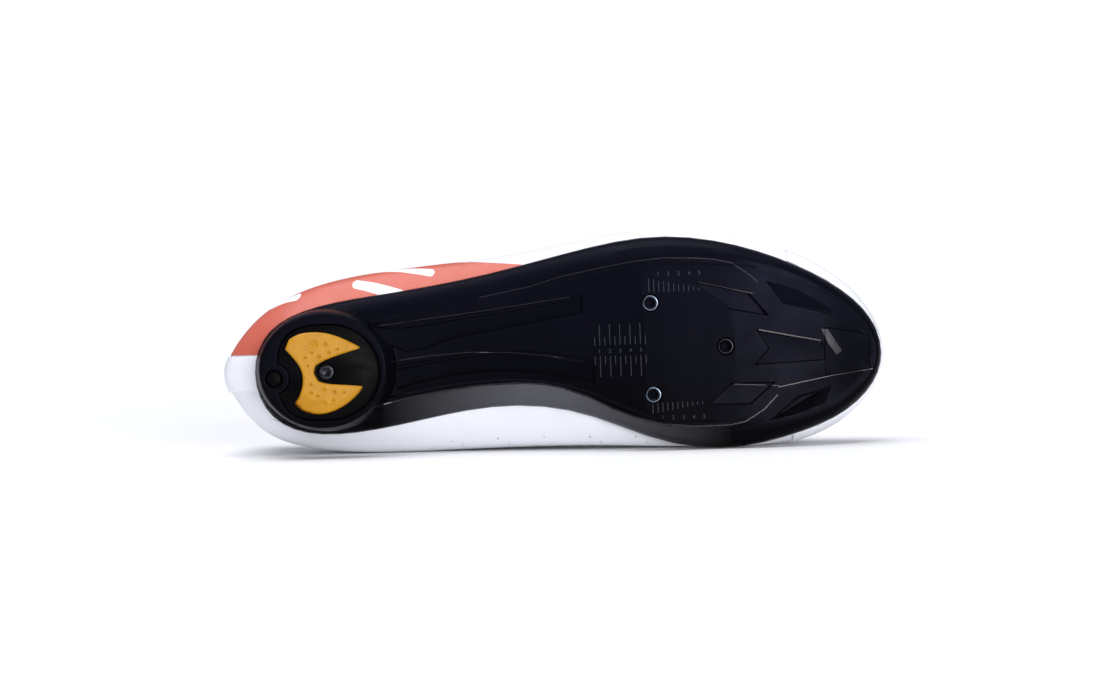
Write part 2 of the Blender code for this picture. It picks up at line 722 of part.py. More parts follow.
def make_heel_tread(collection, cutters):
    """Plate, rubber pad, screw and plug of the heel."""
    floor = HEEL_LAND + RECESS_DEPTH - GAP
    plate = recess_tool("heel_plate", GAP, -PAST, floor, collection, cutters)
    back, front = RECESS_CENTRE[0] - RECESS[0], RECESS_CENTRE[0] + RECESS[0]
    corners = [(x, y) for x, y in ((back - PAST, -1), (front + PAST, -1), (front + PAST, 1), (back - PAST, 1))]
    side = RECESS[1] + PAST
    low = [Vector((x, y * side, -2 * PAST)) for x, y in corners]
    high = [Vector((x, y * side, HEEL_LAND + PLATE_SLOPE * (x - back))) for x, y in corners]
    combined(plate, new_object("plate_slope", prism(low, high), cutters), "DIFFERENCE")
    seat = plate_height(SCREW_CENTRE[0]) + SCREW_HEAD
    hole = disc("screw_hole", SCREW_CENTRE, SCREW_RADIUS + GAP, -PAST, seat + GAP, cutters)
    combined(plate, hole, "DIFFERENCE")
    face = seat - SCREW_HEAD + GAP
    screw = disc("heel_screw", SCREW_CENTRE, SCREW_RADIUS, face, seat, collection)
    radii = SCREW_SOCKET, SCREW_SOCKET
    socket = prism(oval(SCREW_CENTRE, radii, -PAST, 6), oval(SCREW_CENTRE, radii, face + SOCKET_DEPTH, 6))
    combined(screw, new_object("screw_socket", socket, cutters), "DIFFERENCE")
    root = HEEL_LAND + PLUG_DEPTH - GAP
    plug = disc("heel_plug", PLUG_CENTRE, PLUG_RADIUS, HEEL_LAND - GAP, root, collection)
    return [plate, make_heel_pad(collection), screw, plug]


def make_heel_pad(collection):
    """The rubber pad on the plate, its rim bevelled."""
    outline = [
        Vector((RECESS_CENTRE[0] + RECESS[0] * along, RECESS_CENTRE[1] + RECESS[1] * across, 0))
        for along, across in PAD_OUTLINE
    ]
    inner, brim, outer = [], [], []
    for i, place in enumerate(outline):
        run = (outline[(i + 1) % len(outline)] - outline[i - 1]).normalized()
        face = place + Vector((-run.y, run.x, 0)) * PAD_BEVEL
        foot = plate_height(place.x) - GAP
        inner.append(place + Vector((0, 0, foot)))
        brim.append(place + Vector((0, 0, foot - PAD_THICKNESS + PAD_BEVEL)))
        outer.append(face + Vector((0, 0, plate_height(face.x) - GAP - PAD_THICKNESS)))
    lowest = min(point.z for point in outer)
    for point in brim + outer:
        point.z -= lowest + RAIL_HEIGHT
    return new_object("heel_pad", loft([inner, brim, outer], closed=True), collection)


def upper_turns():
    """Stations of the upper, with one at the throat's round end."""
    turns = [i / STATIONS for i in range(STATIONS + 1)]
    low, high = 0.0, 1.0
    for _ in range(60):
        middle = (low + high) / 2
        if SOLE_LENGTH * TOP["along"](middle) < THROAT_END:
            low = middle
        else:
            high = middle
    nearest = min(range(len(turns)), key=lambda i: abs(turns[i] - high))
    turns[nearest] = high
    return turns


def profile_point(turn, side, step):
    """A point of the upper's outside, by its step from the sole to the top."""
    if step <= UPPER_LOW_STEPS:
        return low_profile(turn, side, step / UPPER_LOW_STEPS)
    return high_profile(turn, side, (step - UPPER_LOW_STEPS) / UPPER_HIGH_STEPS)


def upper_skin(turns, low=0, high=UPPER_LOW_STEPS + UPPER_HIGH_STEPS):
    """Rings of the upper's outside."""
    return [ring_of(turns, lambda t, s, n=n: profile_point(t, s, n)) for n in range(low, high + 1)]


def settle_on_deck(thing):
    """Keep a wall's foot just above the sole's top."""
    for vertex in thing.data.vertices:
        floor = deck(turn_of(vertex.co.x / SOLE_LENGTH)) + GAP
        if vertex.co.z < floor:
            vertex.co.z = floor


def make_upper(collection):
    """The hollow upper, open at the collar, throat and sole."""
    turns = upper_turns()
    shape = loft(upper_skin(turns), closed=True, capped=False)
    upper = new_object("upper", shape, collection)
    even = {"use_even_offset": True, "use_quality_normals": True}
    modified(upper, "SOLIDIFY", "wall", thickness=WALL, offset=-1, **even)
    settle_on_deck(upper)
    return upper


def offset_sheet(name, shape, lift, thickness, collection):
    """A sheet lifted off the surface that it was taken from, then thickened outward."""
    bmesh.ops.remove_doubles(shape, verts=shape.verts, dist=1e-6)
    bmesh.ops.recalc_face_normals(shape, faces=shape.faces)
    shape.normal_update()
    centre = Vector((SOLE_LENGTH / 2, 0, HEEL_LIFT))
    sample = max(shape.faces, key=lambda f: (f.calc_center_median() - centre).length)
    if sample.normal.dot(sample.calc_center_median() - centre) < 0:
        bmesh.ops.reverse_faces(shape, faces=shape.faces)
        shape.normal_update()
    mesh = bpy.data.meshes.new(name)
    for vertex in shape.verts:
        vertex.co += vertex.normal * lift
    shape.to_mesh(mesh)
    shape.free()
    made = bpy.data.objects.new(name, mesh)
    collection.objects.link(made)
    return modified(made, "SOLIDIFY", "sheet", thickness=thickness, offset=1, use_even_offset=True)


def make_toe_cap(collection):
    """A thin cap over the toe, laid on the upper's own surface."""
    limit = turn_of(TOE_CAP_START)
    turns = [t for t in upper_turns() if t >= limit]
    rings = []
    for step in range(1, UPPER_LOW_STEPS + UPPER_HIGH_STEPS + 1):
        outer = [profile_point(t, OUTER, step) for t in turns]
        inner = [profile_point(t, INNER, step) for t in reversed(turns[:-1])]
        rings.append(outer + inner)
    shape = loft(rings, capped=False)
    return offset_sheet("toe_cap", shape, GAP, OVERLAY, collection)


def make_heel_strip(collection):
    """The strip up the back of the heel, laid on the upper's own surface and cut to its width."""
    turns = [t for t in upper_turns() if loop_point(t, INNER, "wide").y < 2 * HEEL_STRIP_HALF and t < 0.5]
    rings = []
    for step in range(1, UPPER_LOW_STEPS + UPPER_HIGH_STEPS):
        outer = [profile_point(t, OUTER, step) for t in reversed(turns)]
        inner = [profile_point(t, INNER, step) for t in turns[1:]]
        rings.append(outer + inner)
    shape = loft(rings, capped=False)
    for side in (OUTER, INNER):
        geometry = shape.verts[:] + shape.edges[:] + shape.faces[:]
        place, normal = (0, side * HEEL_STRIP_HALF, 0), (0, side, 0)
        bmesh.ops.bisect_plane(shape, geom=geometry, plane_co=place, plane_no=normal, clear_outer=True)
    return offset_sheet("heel_strip", shape, GAP, OVERLAY, collection)


def top_turn(along):
    """The station where the throat's edge or ridge is at one place along the shoe."""
    low, high = 0.2, 1.0
    for _ in range(50):
        middle = (low + high) / 2
        if SOLE_LENGTH * TOP["along"](middle) < along:
            low = middle
        else:
            high = middle
    return high


def across_path(turn, outer_end, inner_end, outer_steps, inner_steps, arch_steps=4):
    """A line over the upper: up the inner side, over the throat's arch and down the outer side."""
    points = []
    for i in range(inner_steps):
        points.append(high_profile(turn, INNER, inner_end + (1 - inner_end) * i / inner_steps))
    edge = top_point(turn, INNER)
    for i in range(arch_steps + 1):
        across = edge.y * (1 - 2 * i / arch_steps)
        points.append(Vector((edge.x, across, edge.z + (edge.y**2 - across**2) / (2 * THROAT_ARCH))))
    for i in range(1, outer_steps + 1):
        points.append(high_profile(turn, OUTER, 1 - (1 - outer_end) * i / outer_steps))
    return points


def make_straps(collection):
    """Three plain straps across the throat, each with a round end on the outer side."""
    made = []
    for name, along, width, outer_end, inner_end in STRAPS:
        rows = []
        for j in range(STRAP_LINES + 1):
            place = 2 * j / STRAP_LINES - 1
            end = outer_end + STRAP_ROUND * (1 - math.sqrt(1 - place**2))
            middle = SOLE_LENGTH * along + STRAP_WIDTH * width * place / 2
            rows.append(across_path(top_turn(middle), end, inner_end, 6, 2))
        made.append(offset_sheet(name, loft(rows, capped=False), STRAP_LIFT, STRAP_THICKNESS, collection))
    return made


def make_insole(collection):
    """The insole, lying on the sole inside the upper."""
    turns = [i / STATIONS for i in range(STATIONS + 1)]

    def under(turn, side, part):
        point = dish_point(turn, side, part, INSOLE_CLEAR)
        point.z += GAP
        return point

    def over(turn, side, inset, lift):
        point = feather(turn, side, inset)
        point.z = min(dish(turn) + INSOLE_THICKNESS, deck(turn)) + lift
        return point

    parts = [i / DISH_STEPS for i in range(DISH_STEPS, -1, -1)]
    rim = FEATHER_INSET + WALL + 3 * INSOLE_CLEAR
    rings = [ring_of(turns, lambda t, s, p=part: under(t, s, p)) for part in parts]
    rings.append(ring_of(turns, lambda t, s: feather(t, s, rim, INSOLE_EDGE)))
    rings.append(ring_of(turns, lambda t, s: over(t, s, RIM_WIDTH + INSOLE_COVE, GAP)))
    return new_object("insole", slab(turns, rings), collection)


def make_tongue(collection):
    """The padded tongue: under the throat, and standing above the collar in front."""
    rows = []
    start, end = SOLE_LENGTH * TONGUE_START, THROAT_END + TONGUE_REACH
    for i in range(TONGUE_STEPS + 1):
        turn = top_turn(start + (end - start) * i / TONGUE_STEPS)
        rows.append(across_path(turn, 1 - TONGUE_LAP, 1 - TONGUE_LAP, 3, 3))
    count = len(rows[0])
    head = []
    for along, half, height in TONGUE_HEAD:
        places = [BALL_WIDTH * half * (1 - 2 * j / (count - 1)) for j in range(count)]
        rise = [COLLAR_HEIGHT * height - y**2 / (2 * THROAT_ARCH) for y in places]
        head.append([Vector((SOLE_LENGTH * along, y, z)) for y, z in zip(places, rise)])
    drop = WALL + TONGUE_DROP + TONGUE_THICKNESS
    return offset_sheet("tongue", loft(head + rows, capped=False), -drop, TONGUE_THICKNESS, collection)


def material_of(key):
    """A plain material in one of the shoe's colours."""
    name, colour, roughness = COLOURS[key]
    made = bpy.data.materials.get(name) or bpy.data.materials.new(name)
    made.use_nodes = True
    made.diffuse_color = colour
    shader = made.node_tree.nodes["Principled BSDF"]
    shader.inputs["Base Color"].default_value = colour
    shader.inputs["Roughness"].default_value = roughness
    return made


# How heavy each piece is for its size, kilograms per cubic metre
DENSITY = {"outsole": 1100, "heel_plate": 1100, "heel_pad": 1200, "steel": 7850,
           "upper": 900, "overlay": 900, "lining": 300, "strap": 900}


def weight_and_centre(thing, density):
    """Mass of a closed mesh, and its first moment."""
    mesh = thing.data
    mesh.calc_loop_triangles()
    mass, moment = 0.0, Vector()
    for triangle in mesh.loop_triangles:
        a, b, c = (mesh.vertices[i].co for i in triangle.vertices)
        part = a.dot(b.cross(c)) / 6 * density
        mass += part
        moment += part * (a + b + c) / 4
    return mass, moment


def lying_pose(pieces):
    """The turn and shift that lay the shoe on its inner side, as its own weight settles it."""
    mass, moment = 0.0, Vector()
    points = []
    for thing, key in pieces:
        m, first = weight_and_centre(thing, DENSITY[key])
        mass += m
        moment += first
        points += [v.co.copy() for v in thing.data.vertices]
    centre = moment / mass
    shape = bmesh.new()
    for point in points:
        shape.verts.new(point)
    hull = bmesh.ops.convex_hull(shape, input=shape.verts)
    faces = [f for f in hull["geom"] if isinstance(f, bmesh.types.BMFace)]
    best = None
    for face in faces:
        normal = face.normal.copy()
        corners = [v.co.copy() for v in face.verts]
        if normal.dot(corners[0] - centre) < 0:
            normal.negate()
            corners.reverse()
        if normal.y < INNER * SIDE_FACING:
            continue
        foot = centre + normal * normal.dot(corners[0] - centre)
        sides = zip(corners, corners[1:] + corners[:1])
        inside = all((b - a).cross(foot - a).dot(normal) > -1e-9 for a, b in sides)
        if inside and (best is None or normal.z > best.z):
            best = normal
    shape.free()
    up = -best
    right = (Vector((1, 0, 0)) - up * up.x).normalized()
    away = up.cross(right)
    turn = Matrix((right, away, up)).to_4x4()
    turned = [turn @ p for p in points]
    low = [min(p[i] for p in turned) for i in range(3)]
    high = [max(p[i] for p in turned) for i in range(3)]
    shift = Matrix.Translation((-(low[0] + high[0]) / 2, -(low[1] + high[1]) / 2, -low[2]))
    return shift @ turn


def main():
    for thing in list(bpy.data.objects):
        bpy.data.objects.remove(thing)
    scene = bpy.context.scene.collection
    collection = new_collection(NAME, scene)
    cutters = new_collection("cutters", scene, hidden=True)
    pieces = [(make_outsole(collection, cutters), "outsole")]
    plate, pad, screw, plug = make_heel_tread(collection, cutters)
    pieces += [(plate, "heel_plate"), (pad, "heel_pad"), (screw, "steel"), (plug, "heel_plate")]
    pieces += [(thing, "steel") for thing in make_inserts(collection, cutters)]
    pieces.append((make_upper(collection), "upper"))
    pieces.append((make_toe_cap(collection), "overlay"))
    pieces.append((make_heel_strip(collection), "overlay"))
    pieces.append((make_tongue(collection), "lining"))
    pieces.append((make_insole(collection), "lining"))
    pieces += [(thing, "strap") for thing in make_straps(collection)]
    pose = lying_pose(pieces)
    for thing, key in pieces:
        thing.data.transform(pose)
        thing.data.materials.clear()
        thing.data.materials.append(material_of(key))
        for face in thing.data.polygons:
            face.use_smooth = True
        thing.data.set_sharp_from_angle(angle=math.radians(35))
    for cutter in cutters.objects:
        cutter.data.transform(pose)
        cutter.display_type = "WIRE"
        cutter.hide_render = True


main()
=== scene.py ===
import math

import bpy
from mathutils import Matrix, Vector
from mathutils.bvhtree import BVHTree


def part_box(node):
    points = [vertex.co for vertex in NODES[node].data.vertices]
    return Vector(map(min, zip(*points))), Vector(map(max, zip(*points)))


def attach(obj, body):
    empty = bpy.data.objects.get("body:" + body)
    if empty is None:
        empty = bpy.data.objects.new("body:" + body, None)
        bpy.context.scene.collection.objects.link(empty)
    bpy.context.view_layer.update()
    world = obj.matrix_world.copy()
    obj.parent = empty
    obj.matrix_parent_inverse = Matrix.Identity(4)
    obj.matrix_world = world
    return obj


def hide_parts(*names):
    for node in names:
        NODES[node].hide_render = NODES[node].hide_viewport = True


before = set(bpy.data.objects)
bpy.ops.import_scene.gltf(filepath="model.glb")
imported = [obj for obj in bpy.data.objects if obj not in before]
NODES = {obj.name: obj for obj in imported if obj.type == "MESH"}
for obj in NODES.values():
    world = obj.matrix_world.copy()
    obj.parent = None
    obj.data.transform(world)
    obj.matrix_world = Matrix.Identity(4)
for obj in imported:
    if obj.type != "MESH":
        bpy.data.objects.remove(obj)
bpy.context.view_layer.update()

bl_info = {
    "name": "Cycling shoe",
    "version": (1, 0, 0),
    "blender": (4, 5, 0),
    "location": "3D View > Sidebar > Shoe",
    "description": "Builds a cycling shoe's pieces, finishes, light and camera round its packed frame",
    "category": "Mesh",
}

# The middle of the rear two cleat inserts on the shoe as it stands, with its toe along +X, its inner side
# along +Y and its collar up
INSERTS_MIDDLE = Vector((0.1778, -0.0049, 0.00245))

# The axis inside the shoe from which its skin is looked at, at this height and between these two ends
CORE_HEIGHT = 0.036
CORE_ENDS = (0.032, 0.232)

# Material slots of the upper's shell
SKIN, LINING, EDGE = 0, 1, 2

# What steps leave for later ones: each material by its finish, the sole's and the skin's search trees, and
# where the toe cap starts
MADE = {}


def middle(name):
    """The middle of a CAD node."""
    low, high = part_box(name)
    return (low + high) / 2


def standing_place():
    """The matrix that lays the standing shoe down where the CAD has it, from its three cleat inserts."""
    outer, inner, front = (middle("cleat_insert_" + side) for side in ("outer", "inner", "front"))
    across = (inner - outer).normalized()
    along = front - (outer + inner) / 2
    along = (along - across * along.dot(across)).normalized()
    up = along.cross(across)
    origin = (outer + inner) / 2 - Matrix((along, across, up)).transposed() @ INSERTS_MIDDLE
    return Matrix.Translation(origin) @ Matrix((along, across, up)).transposed().to_4x4()


LAID = standing_place()
STOOD = LAID.inverted()


def linear(code):
    """The linear colour of an sRGB hex value."""
    shares = [int(code[place:place + 2], 16) / 255 for place in (1, 3, 5)]
    return tuple(s / 12.92 if s <= 0.04045 else ((s + 0.055) / 1.055) ** 2.4 for s in shares) + (1.0,)


class ShoeFinish(bpy.types.PropertyGroup):
    """Colours of the shoe."""

    # The composite's colour is partly painted light: its navy tint stands for the lit outer side of the sole
    composite: bpy.props.FloatVectorProperty(
        name="Composite", description="Moulded sole", size=4, subtype="COLOR", default=linear("#0B0C16"))
    microfibre: bpy.props.FloatVectorProperty(
        name="Microfibre", description="Coated upper", size=4, subtype="COLOR", default=linear("#E6E7EE"))
    coral: bpy.props.FloatVectorProperty(
        name="Coral film", description="Panel of the outer heel", size=4, subtype="COLOR",
        default=linear("#C6604F"))
    amber: bpy.props.FloatVectorProperty(
        name="Amber rubber", description="Heel tread", size=4, subtype="COLOR", default=linear("#B57F12"))
    lining: bpy.props.FloatVectorProperty(
        name="Lining", description="Knit inside the shoe", size=4, subtype="COLOR", default=linear("#3A3B42"))
    thread: bpy.props.FloatVectorProperty(
        name="Thread", description="Stitches", size=4, subtype="COLOR", default=linear("#B9BCCB"))


class ShoeSizes(bpy.types.PropertyGroup):
    """Sizes of the shoe's small parts."""

    edge_round: bpy.props.FloatProperty(
        name="Sole edges", description="Width of the rounded edges of the sole", default=0.00045, min=0.0001,
        max=0.002, unit="LENGTH")
    film: bpy.props.FloatProperty(
        name="Film", description="Thickness of the coral film", default=0.0004, min=0.0001, max=0.001,
        unit="LENGTH")
    cap: bpy.props.FloatProperty(
        name="Cap", description="Thickness of the toe cap and heel strip", default=0.0010, min=0.0002,
        max=0.002, unit="LENGTH")
    collar: bpy.props.FloatProperty(
        name="Collar", description="Thickness of the collar's padding", default=0.0042, min=0.001, max=0.008,
        unit="LENGTH")
    hole: bpy.props.FloatProperty(
        name="Vent hole", description="Diameter of a punched hole", default=0.0008, min=0.0004, max=0.003,
        unit="LENGTH")
    stitch: bpy.props.FloatProperty(
        name="Stitch", description="Length of one stitch", default=0.0023, min=0.001, max=0.005,
        unit="LENGTH")
    stitch_pitch: bpy.props.FloatProperty(
        name="Stitch spacing", description="From one stitch to the next", default=0.0031, min=0.0015,
        max=0.008, unit="LENGTH")
    mark: bpy.props.FloatProperty(
        name="Mark", description="Width of a line of the cleat scales", default=0.00032, min=0.0001,
        max=0.001, unit="LENGTH")


class ShoeStage(bpy.types.PropertyGroup):
    """Camera, light and floor."""

    azimuth: bpy.props.FloatProperty(
        name="Azimuth", description="Camera's turn round the shoe", default=math.radians(0.937),
        subtype="ANGLE")
    elevation: bpy.props.FloatProperty(
        name="Elevation", description="Camera above the floor", default=math.radians(2.754), subtype="ANGLE")
    roll: bpy.props.FloatProperty(
        name="Roll", description="Camera's turn round its own line", default=math.radians(-1.619),
        subtype="ANGLE")
    distance: bpy.props.FloatProperty(
        name="Distance", description="From the camera to the shoe", default=2.2, min=0.5, unit="LENGTH")
    lens: bpy.props.FloatProperty(
        name="Lens", description="Focal length in millimetres", default=158.43, min=20)
    softbox: bpy.props.FloatProperty(
        name="Softbox", description="Strength of the overhead light", default=2.65)
    front: bpy.props.FloatProperty(
        name="Front light", description="Strength of the low front light", default=2.15)
    ambient: bpy.props.FloatProperty(
        name="Room light", description="Strength of the room's light", default=0.28)
    floor: bpy.props.FloatVectorProperty(
        name="Floor", description="Paper floor", size=4, subtype="COLOR", default=linear("#F6F6F7"))


# Materials

def node(tree, kind, inputs=None, **settings):
    """Adds one node with its settings, and its values or links by the name or number of each socket."""
    made = tree.nodes.new("ShaderNode" + kind)
    for name, value in settings.items():
        setattr(made, name, value)
    for socket, value in (inputs or {}).items():
        if isinstance(value, bpy.types.NodeSocket):
            tree.links.new(value, made.inputs[socket])
        else:
            made.inputs[socket].default_value = value
    return made


def blank(name):
    """A new material without nodes, and its node tree."""
    material = bpy.data.materials.new(name)
    material.use_nodes = True
    material.node_tree.nodes.clear()
    return material, material.node_tree


def shoe_place(tree):
    """Where a point is on the standing shoe, in metres: Object coordinates turned by a Mapping node."""
    place = node(tree, "TexCoord").outputs["Object"]
    inputs = {"Vector": place, "Location": LAID.translation, "Rotation": LAID.to_euler()}
    return node(tree, "Mapping", inputs, vector_type="TEXTURE").outputs[0]


def closed(tree, colour, roughness, reliefs, **sockets):
    """Ends a material: colour, roughness, reliefs as pairs of height and depth, and plain values."""
    normal = None
    for height, depth in reliefs:
        inputs = {"Strength": 1.0, "Distance": depth, "Height": height}
        if normal:
            inputs["Normal"] = normal
        normal = node(tree, "Bump", inputs).outputs[0]
    inputs = {"Base Color": colour, "Roughness": roughness}
    if normal:
        inputs["Normal"] = normal
    inputs.update({name.replace("_", " "): value for name, value in sockets.items()})
    shader = node(tree, "BsdfPrincipled", inputs)
    node(tree, "OutputMaterial", {"Surface": shader.outputs[0]})


def cloudy(tree, place, size, low, high):
    """A number that drifts between two values over clouds of a size in metres."""
    cloud = node(tree, "TexNoise", {"Vector": place, "Scale": 1 / size, "Detail": 3.0}).outputs[0]
    inputs = {"Value": cloud, "From Min": 0.3, "From Max": 0.7, "To Min": low, "To Max": high}
    return node(tree, "MapRange", inputs).outputs[0]


def shade(colour, share):
    """A colour made darker, or lighter above 1."""
    return tuple(min(1.0, part * share) for part in colour[:3]) + (1.0,)


def plain_finish(name, colour, rough, clouds, grain, **sockets):
    """A finish of one tone: clouds of a size and a swing, a roughness between two values, and grains."""
    material, tree = blank(name)
    place = shoe_place(tree)
    size, swing = clouds
    share = cloudy(tree, place, size, 0.0, 1.0)
    inputs = {0: share, 6: shade(colour, 1 - swing), 7: shade(colour, 1 + swing)}
    tone = node(tree, "Mix", inputs, data_type="RGBA").outputs[2]
    roughness = cloudy(tree, place, size * 0.4, *rough)
    reliefs = []
    for fineness, depth in grain:
        inputs = {"Vector": place, "Scale": 1 / fineness, "Detail": 2.0}
        reliefs.append((node(tree, "TexNoise", inputs).outputs[0], depth))
    closed(tree, tone, roughness, reliefs, **sockets)
    return material


def span(tree, place, axis, start, end):
    """0 at one place along an axis of the standing shoe, 1 at another, and a straight climb between."""
    value = node(tree, "SeparateXYZ", {0: place}).outputs[axis]
    return node(tree, "MapRange", {"Value": value, "From Min": start, "From Max": end}).outputs[0]


def composite_finish():
    """Moulded carbon-fibre composite: near black, low blue gloss, outer side faintly navy from painted light.
    """
    colour = bpy.context.scene.shoe_finish.composite
    material, tree = blank("moulded_composite")
    place = shoe_place(tree)
    # Painted light: the outer side takes the composite's lit navy colour, fading to near black on the inner
    # side
    inputs = {0: span(tree, place, "Y", -0.030, 0.020), 6: colour, 7: linear("#050506")}
    tone = node(tree, "Mix", inputs, data_type="RGBA").outputs[2]
    inputs = {0: cloudy(tree, place, 0.030, 0.0, 0.4), 6: tone, 7: linear("#030304")}
    tone = node(tree, "Mix", inputs, data_type="RGBA").outputs[2]
    roughness = cloudy(tree, place, 0.012, 0.30, 0.40)
    grain = node(tree, "TexNoise", {"Vector": place, "Scale": 1 / 0.0006, "Detail": 2.0}).outputs[0]
    closed(tree, tone, roughness, [(grain, 0.00001)], Specular_IOR_Level=0.04,
           Specular_Tint=linear("#CFCFFF"))
    return material


def wall_finish():
    """The composite's inner wall: a painted reflection, grey along the arch, dying out at the heel and the
    ball.
    """
    material, tree = blank("inner_wall_painted_reflection")
    place = shoe_place(tree)
    rise = span(tree, place, "X", 0.056, 0.120)
    fall = span(tree, place, "X", 0.212, 0.140)
    share = node(tree, "Math", {0: rise, 1: fall}, operation="MULTIPLY").outputs[0]
    # Painted reflection of the floor's light: grey along the arch, near black at the heel and the ball
    inputs = {0: share, 6: linear("#050506"), 7: linear("#505055")}
    tone = node(tree, "Mix", inputs, data_type="RGBA").outputs[2]
    roughness = cloudy(tree, place, 0.012, 0.30, 0.38)
    grain = node(tree, "TexNoise", {"Vector": place, "Scale": 1 / 0.0006, "Detail": 2.0}).outputs[0]
    closed(tree, tone, roughness, [(grain, 0.00001)], Specular_IOR_Level=0.04,
           Specular_Tint=linear("#CFCFFF"))
    return material


def leather_relief(tree, place, size, depth):
    """The fine cells of a grained coat."""
    cells = node(tree, "TexVoronoi", {"Vector": place, "Scale": 1 / size, "Randomness": 1.0},
                 feature="SMOOTH_F1").outputs["Distance"]
    return cells, depth


def microfibre_finish():
    """Polyurethane-coated microfibre: an even white skin with a fine cell grain that dulls its gloss."""
    colour = bpy.context.scene.shoe_finish.microfibre
    material, tree = blank("coated_microfibre")
    place = shoe_place(tree)
    inputs = {0: cloudy(tree, place, 0.020, 0.0, 1.0), 6: shade(colour, 0.97), 7: colour}
    tone = node(tree, "Mix", inputs, data_type="RGBA").outputs[2]
    roughness = cloudy(tree, place, 0.006, 0.40, 0.50)
    soft = node(tree, "TexNoise", {"Vector": place, "Scale": 1 / 0.012, "Detail": 2.0}).outputs[0]
    reliefs = [(soft, 0.0004), leather_relief(tree, place, 0.0009, 0.00004)]
    closed(tree, tone, roughness, reliefs, Specular_IOR_Level=0.4, Sheen_Weight=0.05)
    return material


# Plain white bars printed on the coral panel: two ends seen from the side, and half a width, in metres
BARS = (
    ((0.0465, 0.0387), (0.0800, 0.0267), 0.00165),
    ((0.0465, 0.0277), (0.0760, 0.0169), 0.00185),
    ((0.0190, 0.0312), (0.0090, 0.0348), 0.0022),
)

# Half the width of a printed bar's soft edge
BAR_BLUR = 0.00006


def within(tree, place, start, end, radius):
    """1 inside a bar with round ends, seen from the side of the shoe, and 0 outside it."""
    start, end = Vector((start[0], 0, start[1])), Vector((end[0], 0, end[1]))
    flat = node(tree, "VectorMath", {0: place, 1: (1, 0, 1)}, operation="MULTIPLY").outputs[0]
    reach = node(tree, "VectorMath", {0: flat, 1: start}, operation="SUBTRACT").outputs[0]
    run = end - start
    inputs = {0: reach, 1: run / run.length_squared}
    share = node(tree, "VectorMath", inputs, operation="DOT_PRODUCT").outputs["Value"]
    share = node(tree, "Clamp", {0: share}).outputs[0]
    near = node(tree, "VectorMath", {0: run, "Scale": share}, operation="SCALE").outputs[0]
    gap = node(tree, "VectorMath", {0: reach, 1: near}, operation="DISTANCE").outputs["Value"]
    inputs = {"Value": gap, "From Min": radius + BAR_BLUR, "From Max": radius - BAR_BLUR}
    return node(tree, "MapRange", inputs).outputs[0]


def coral_finish():
    """Thermoplastic film pressed on the microfibre: an even coral with plain white bars printed on it."""
    colour = bpy.context.scene.shoe_finish.coral
    material, tree = blank("coral_film")
    place = shoe_place(tree)
    inputs = {0: cloudy(tree, place, 0.018, 0.0, 1.0), 6: shade(colour, 0.95), 7: shade(colour, 1.05)}
    tone = node(tree, "Mix", inputs, data_type="RGBA").outputs[2]
    share = None
    for start, end, radius in BARS:
        bar = within(tree, place, start, end, radius)
        share = node(tree, "Math", {0: share, 1: bar}, operation="MAXIMUM").outputs[0] if share else bar
    inputs = {0: share, 6: tone, 7: linear("#F7F7FB")}
    tone = node(tree, "Mix", inputs, data_type="RGBA").outputs[2]
    roughness = cloudy(tree, place, 0.006, 0.34, 0.44)
    closed(tree, tone, roughness, [leather_relief(tree, place, 0.0009, 0.00003)], Specular_IOR_Level=0.4)
    return material


def film_finish():
    """Smooth thermoplastic film: the white of the upper with a clearer gloss."""
    return plain_finish("smooth_film", linear("#E8E9F0"), (0.26, 0.34), (0.015, 0.01), [(0.0016, 0.00001)],
                        Specular_IOR_Level=0.45)


def rubber_finish():
    """Moulded amber polyurethane rubber: a warm, slightly cloudy body with a waxy gloss."""
    colour = bpy.context.scene.shoe_finish.amber
    grain = [(0.0009, 0.00005), (0.0002, 0.00001)]
    return plain_finish("amber_rubber", colour, (0.38, 0.50), (0.004, 0.07), grain, Specular_IOR_Level=0.25)


def nylon_finish():
    """Glass-filled nylon, moulded with a fine spark texture: dull black."""
    return plain_finish("filled_nylon", linear("#050507"), (0.34, 0.46), (0.010, 0.2), [(0.0004, 0.00002)],
                        Specular_IOR_Level=0.03)


def nickel_finish():
    """Nickel-plated steel, turned: bright, with a faint fine grain."""
    return plain_finish("nickel_plated_steel", linear("#5F6874"), (0.22, 0.32), (0.003, 0.05),
                        [(0.0003, 0.000005)], Metallic=1.0)


def black_steel_finish():
    """Black-oxide steel: dark grey with a dull metal gloss."""
    return plain_finish("black_oxide_steel", linear("#2A2A30"), (0.28, 0.40), (0.003, 0.15),
                        [(0.0003, 0.000006)], Metallic=1.0)


# The length of one wave of a Wave texture at scale 1, in metres
WAVE_LENGTH = 0.314


def woven(tree, place, pitch):
    """Two sets of threads that cross, as a height from 0 to 1."""
    inputs = {"Vector": place, "Scale": WAVE_LENGTH / pitch}
    across = node(tree, "TexWave", inputs, bands_direction="X").outputs[1]
    along = node(tree, "TexWave", inputs, bands_direction="DIAGONAL").outputs[1]
    return node(tree, "Math", {0: across, 1: along}, operation="MULTIPLY").outputs[0]


def cloth_finish(name, colour, pitch, depth):
    """A textile: crossing threads drawn a little coarser than life so that they show, and a soft fuzz."""
    material, tree = blank(name)
    place = shoe_place(tree)
    threads = woven(tree, place, pitch)
    inputs = {0: threads, 6: shade(colour, 0.55), 7: shade(colour, 1.15)}
    tone = node(tree, "Mix", inputs, data_type="RGBA").outputs[2]
    inputs = {0: cloudy(tree, place, 0.02, 0.0, 0.25), 6: tone, 7: shade(colour, 0.8)}
    tone = node(tree, "Mix", inputs, data_type="RGBA").outputs[2]
    closed(tree, tone, 0.85, [(threads, depth)], Specular_IOR_Level=0.25, Sheen_Weight=0.25)
    return material


def lining_finish():
    """Polyester knit over foam: dark, matt, with small loops."""
    return cloth_finish("knit_lining", bpy.context.scene.shoe_finish.lining, 0.0009, 0.00012)


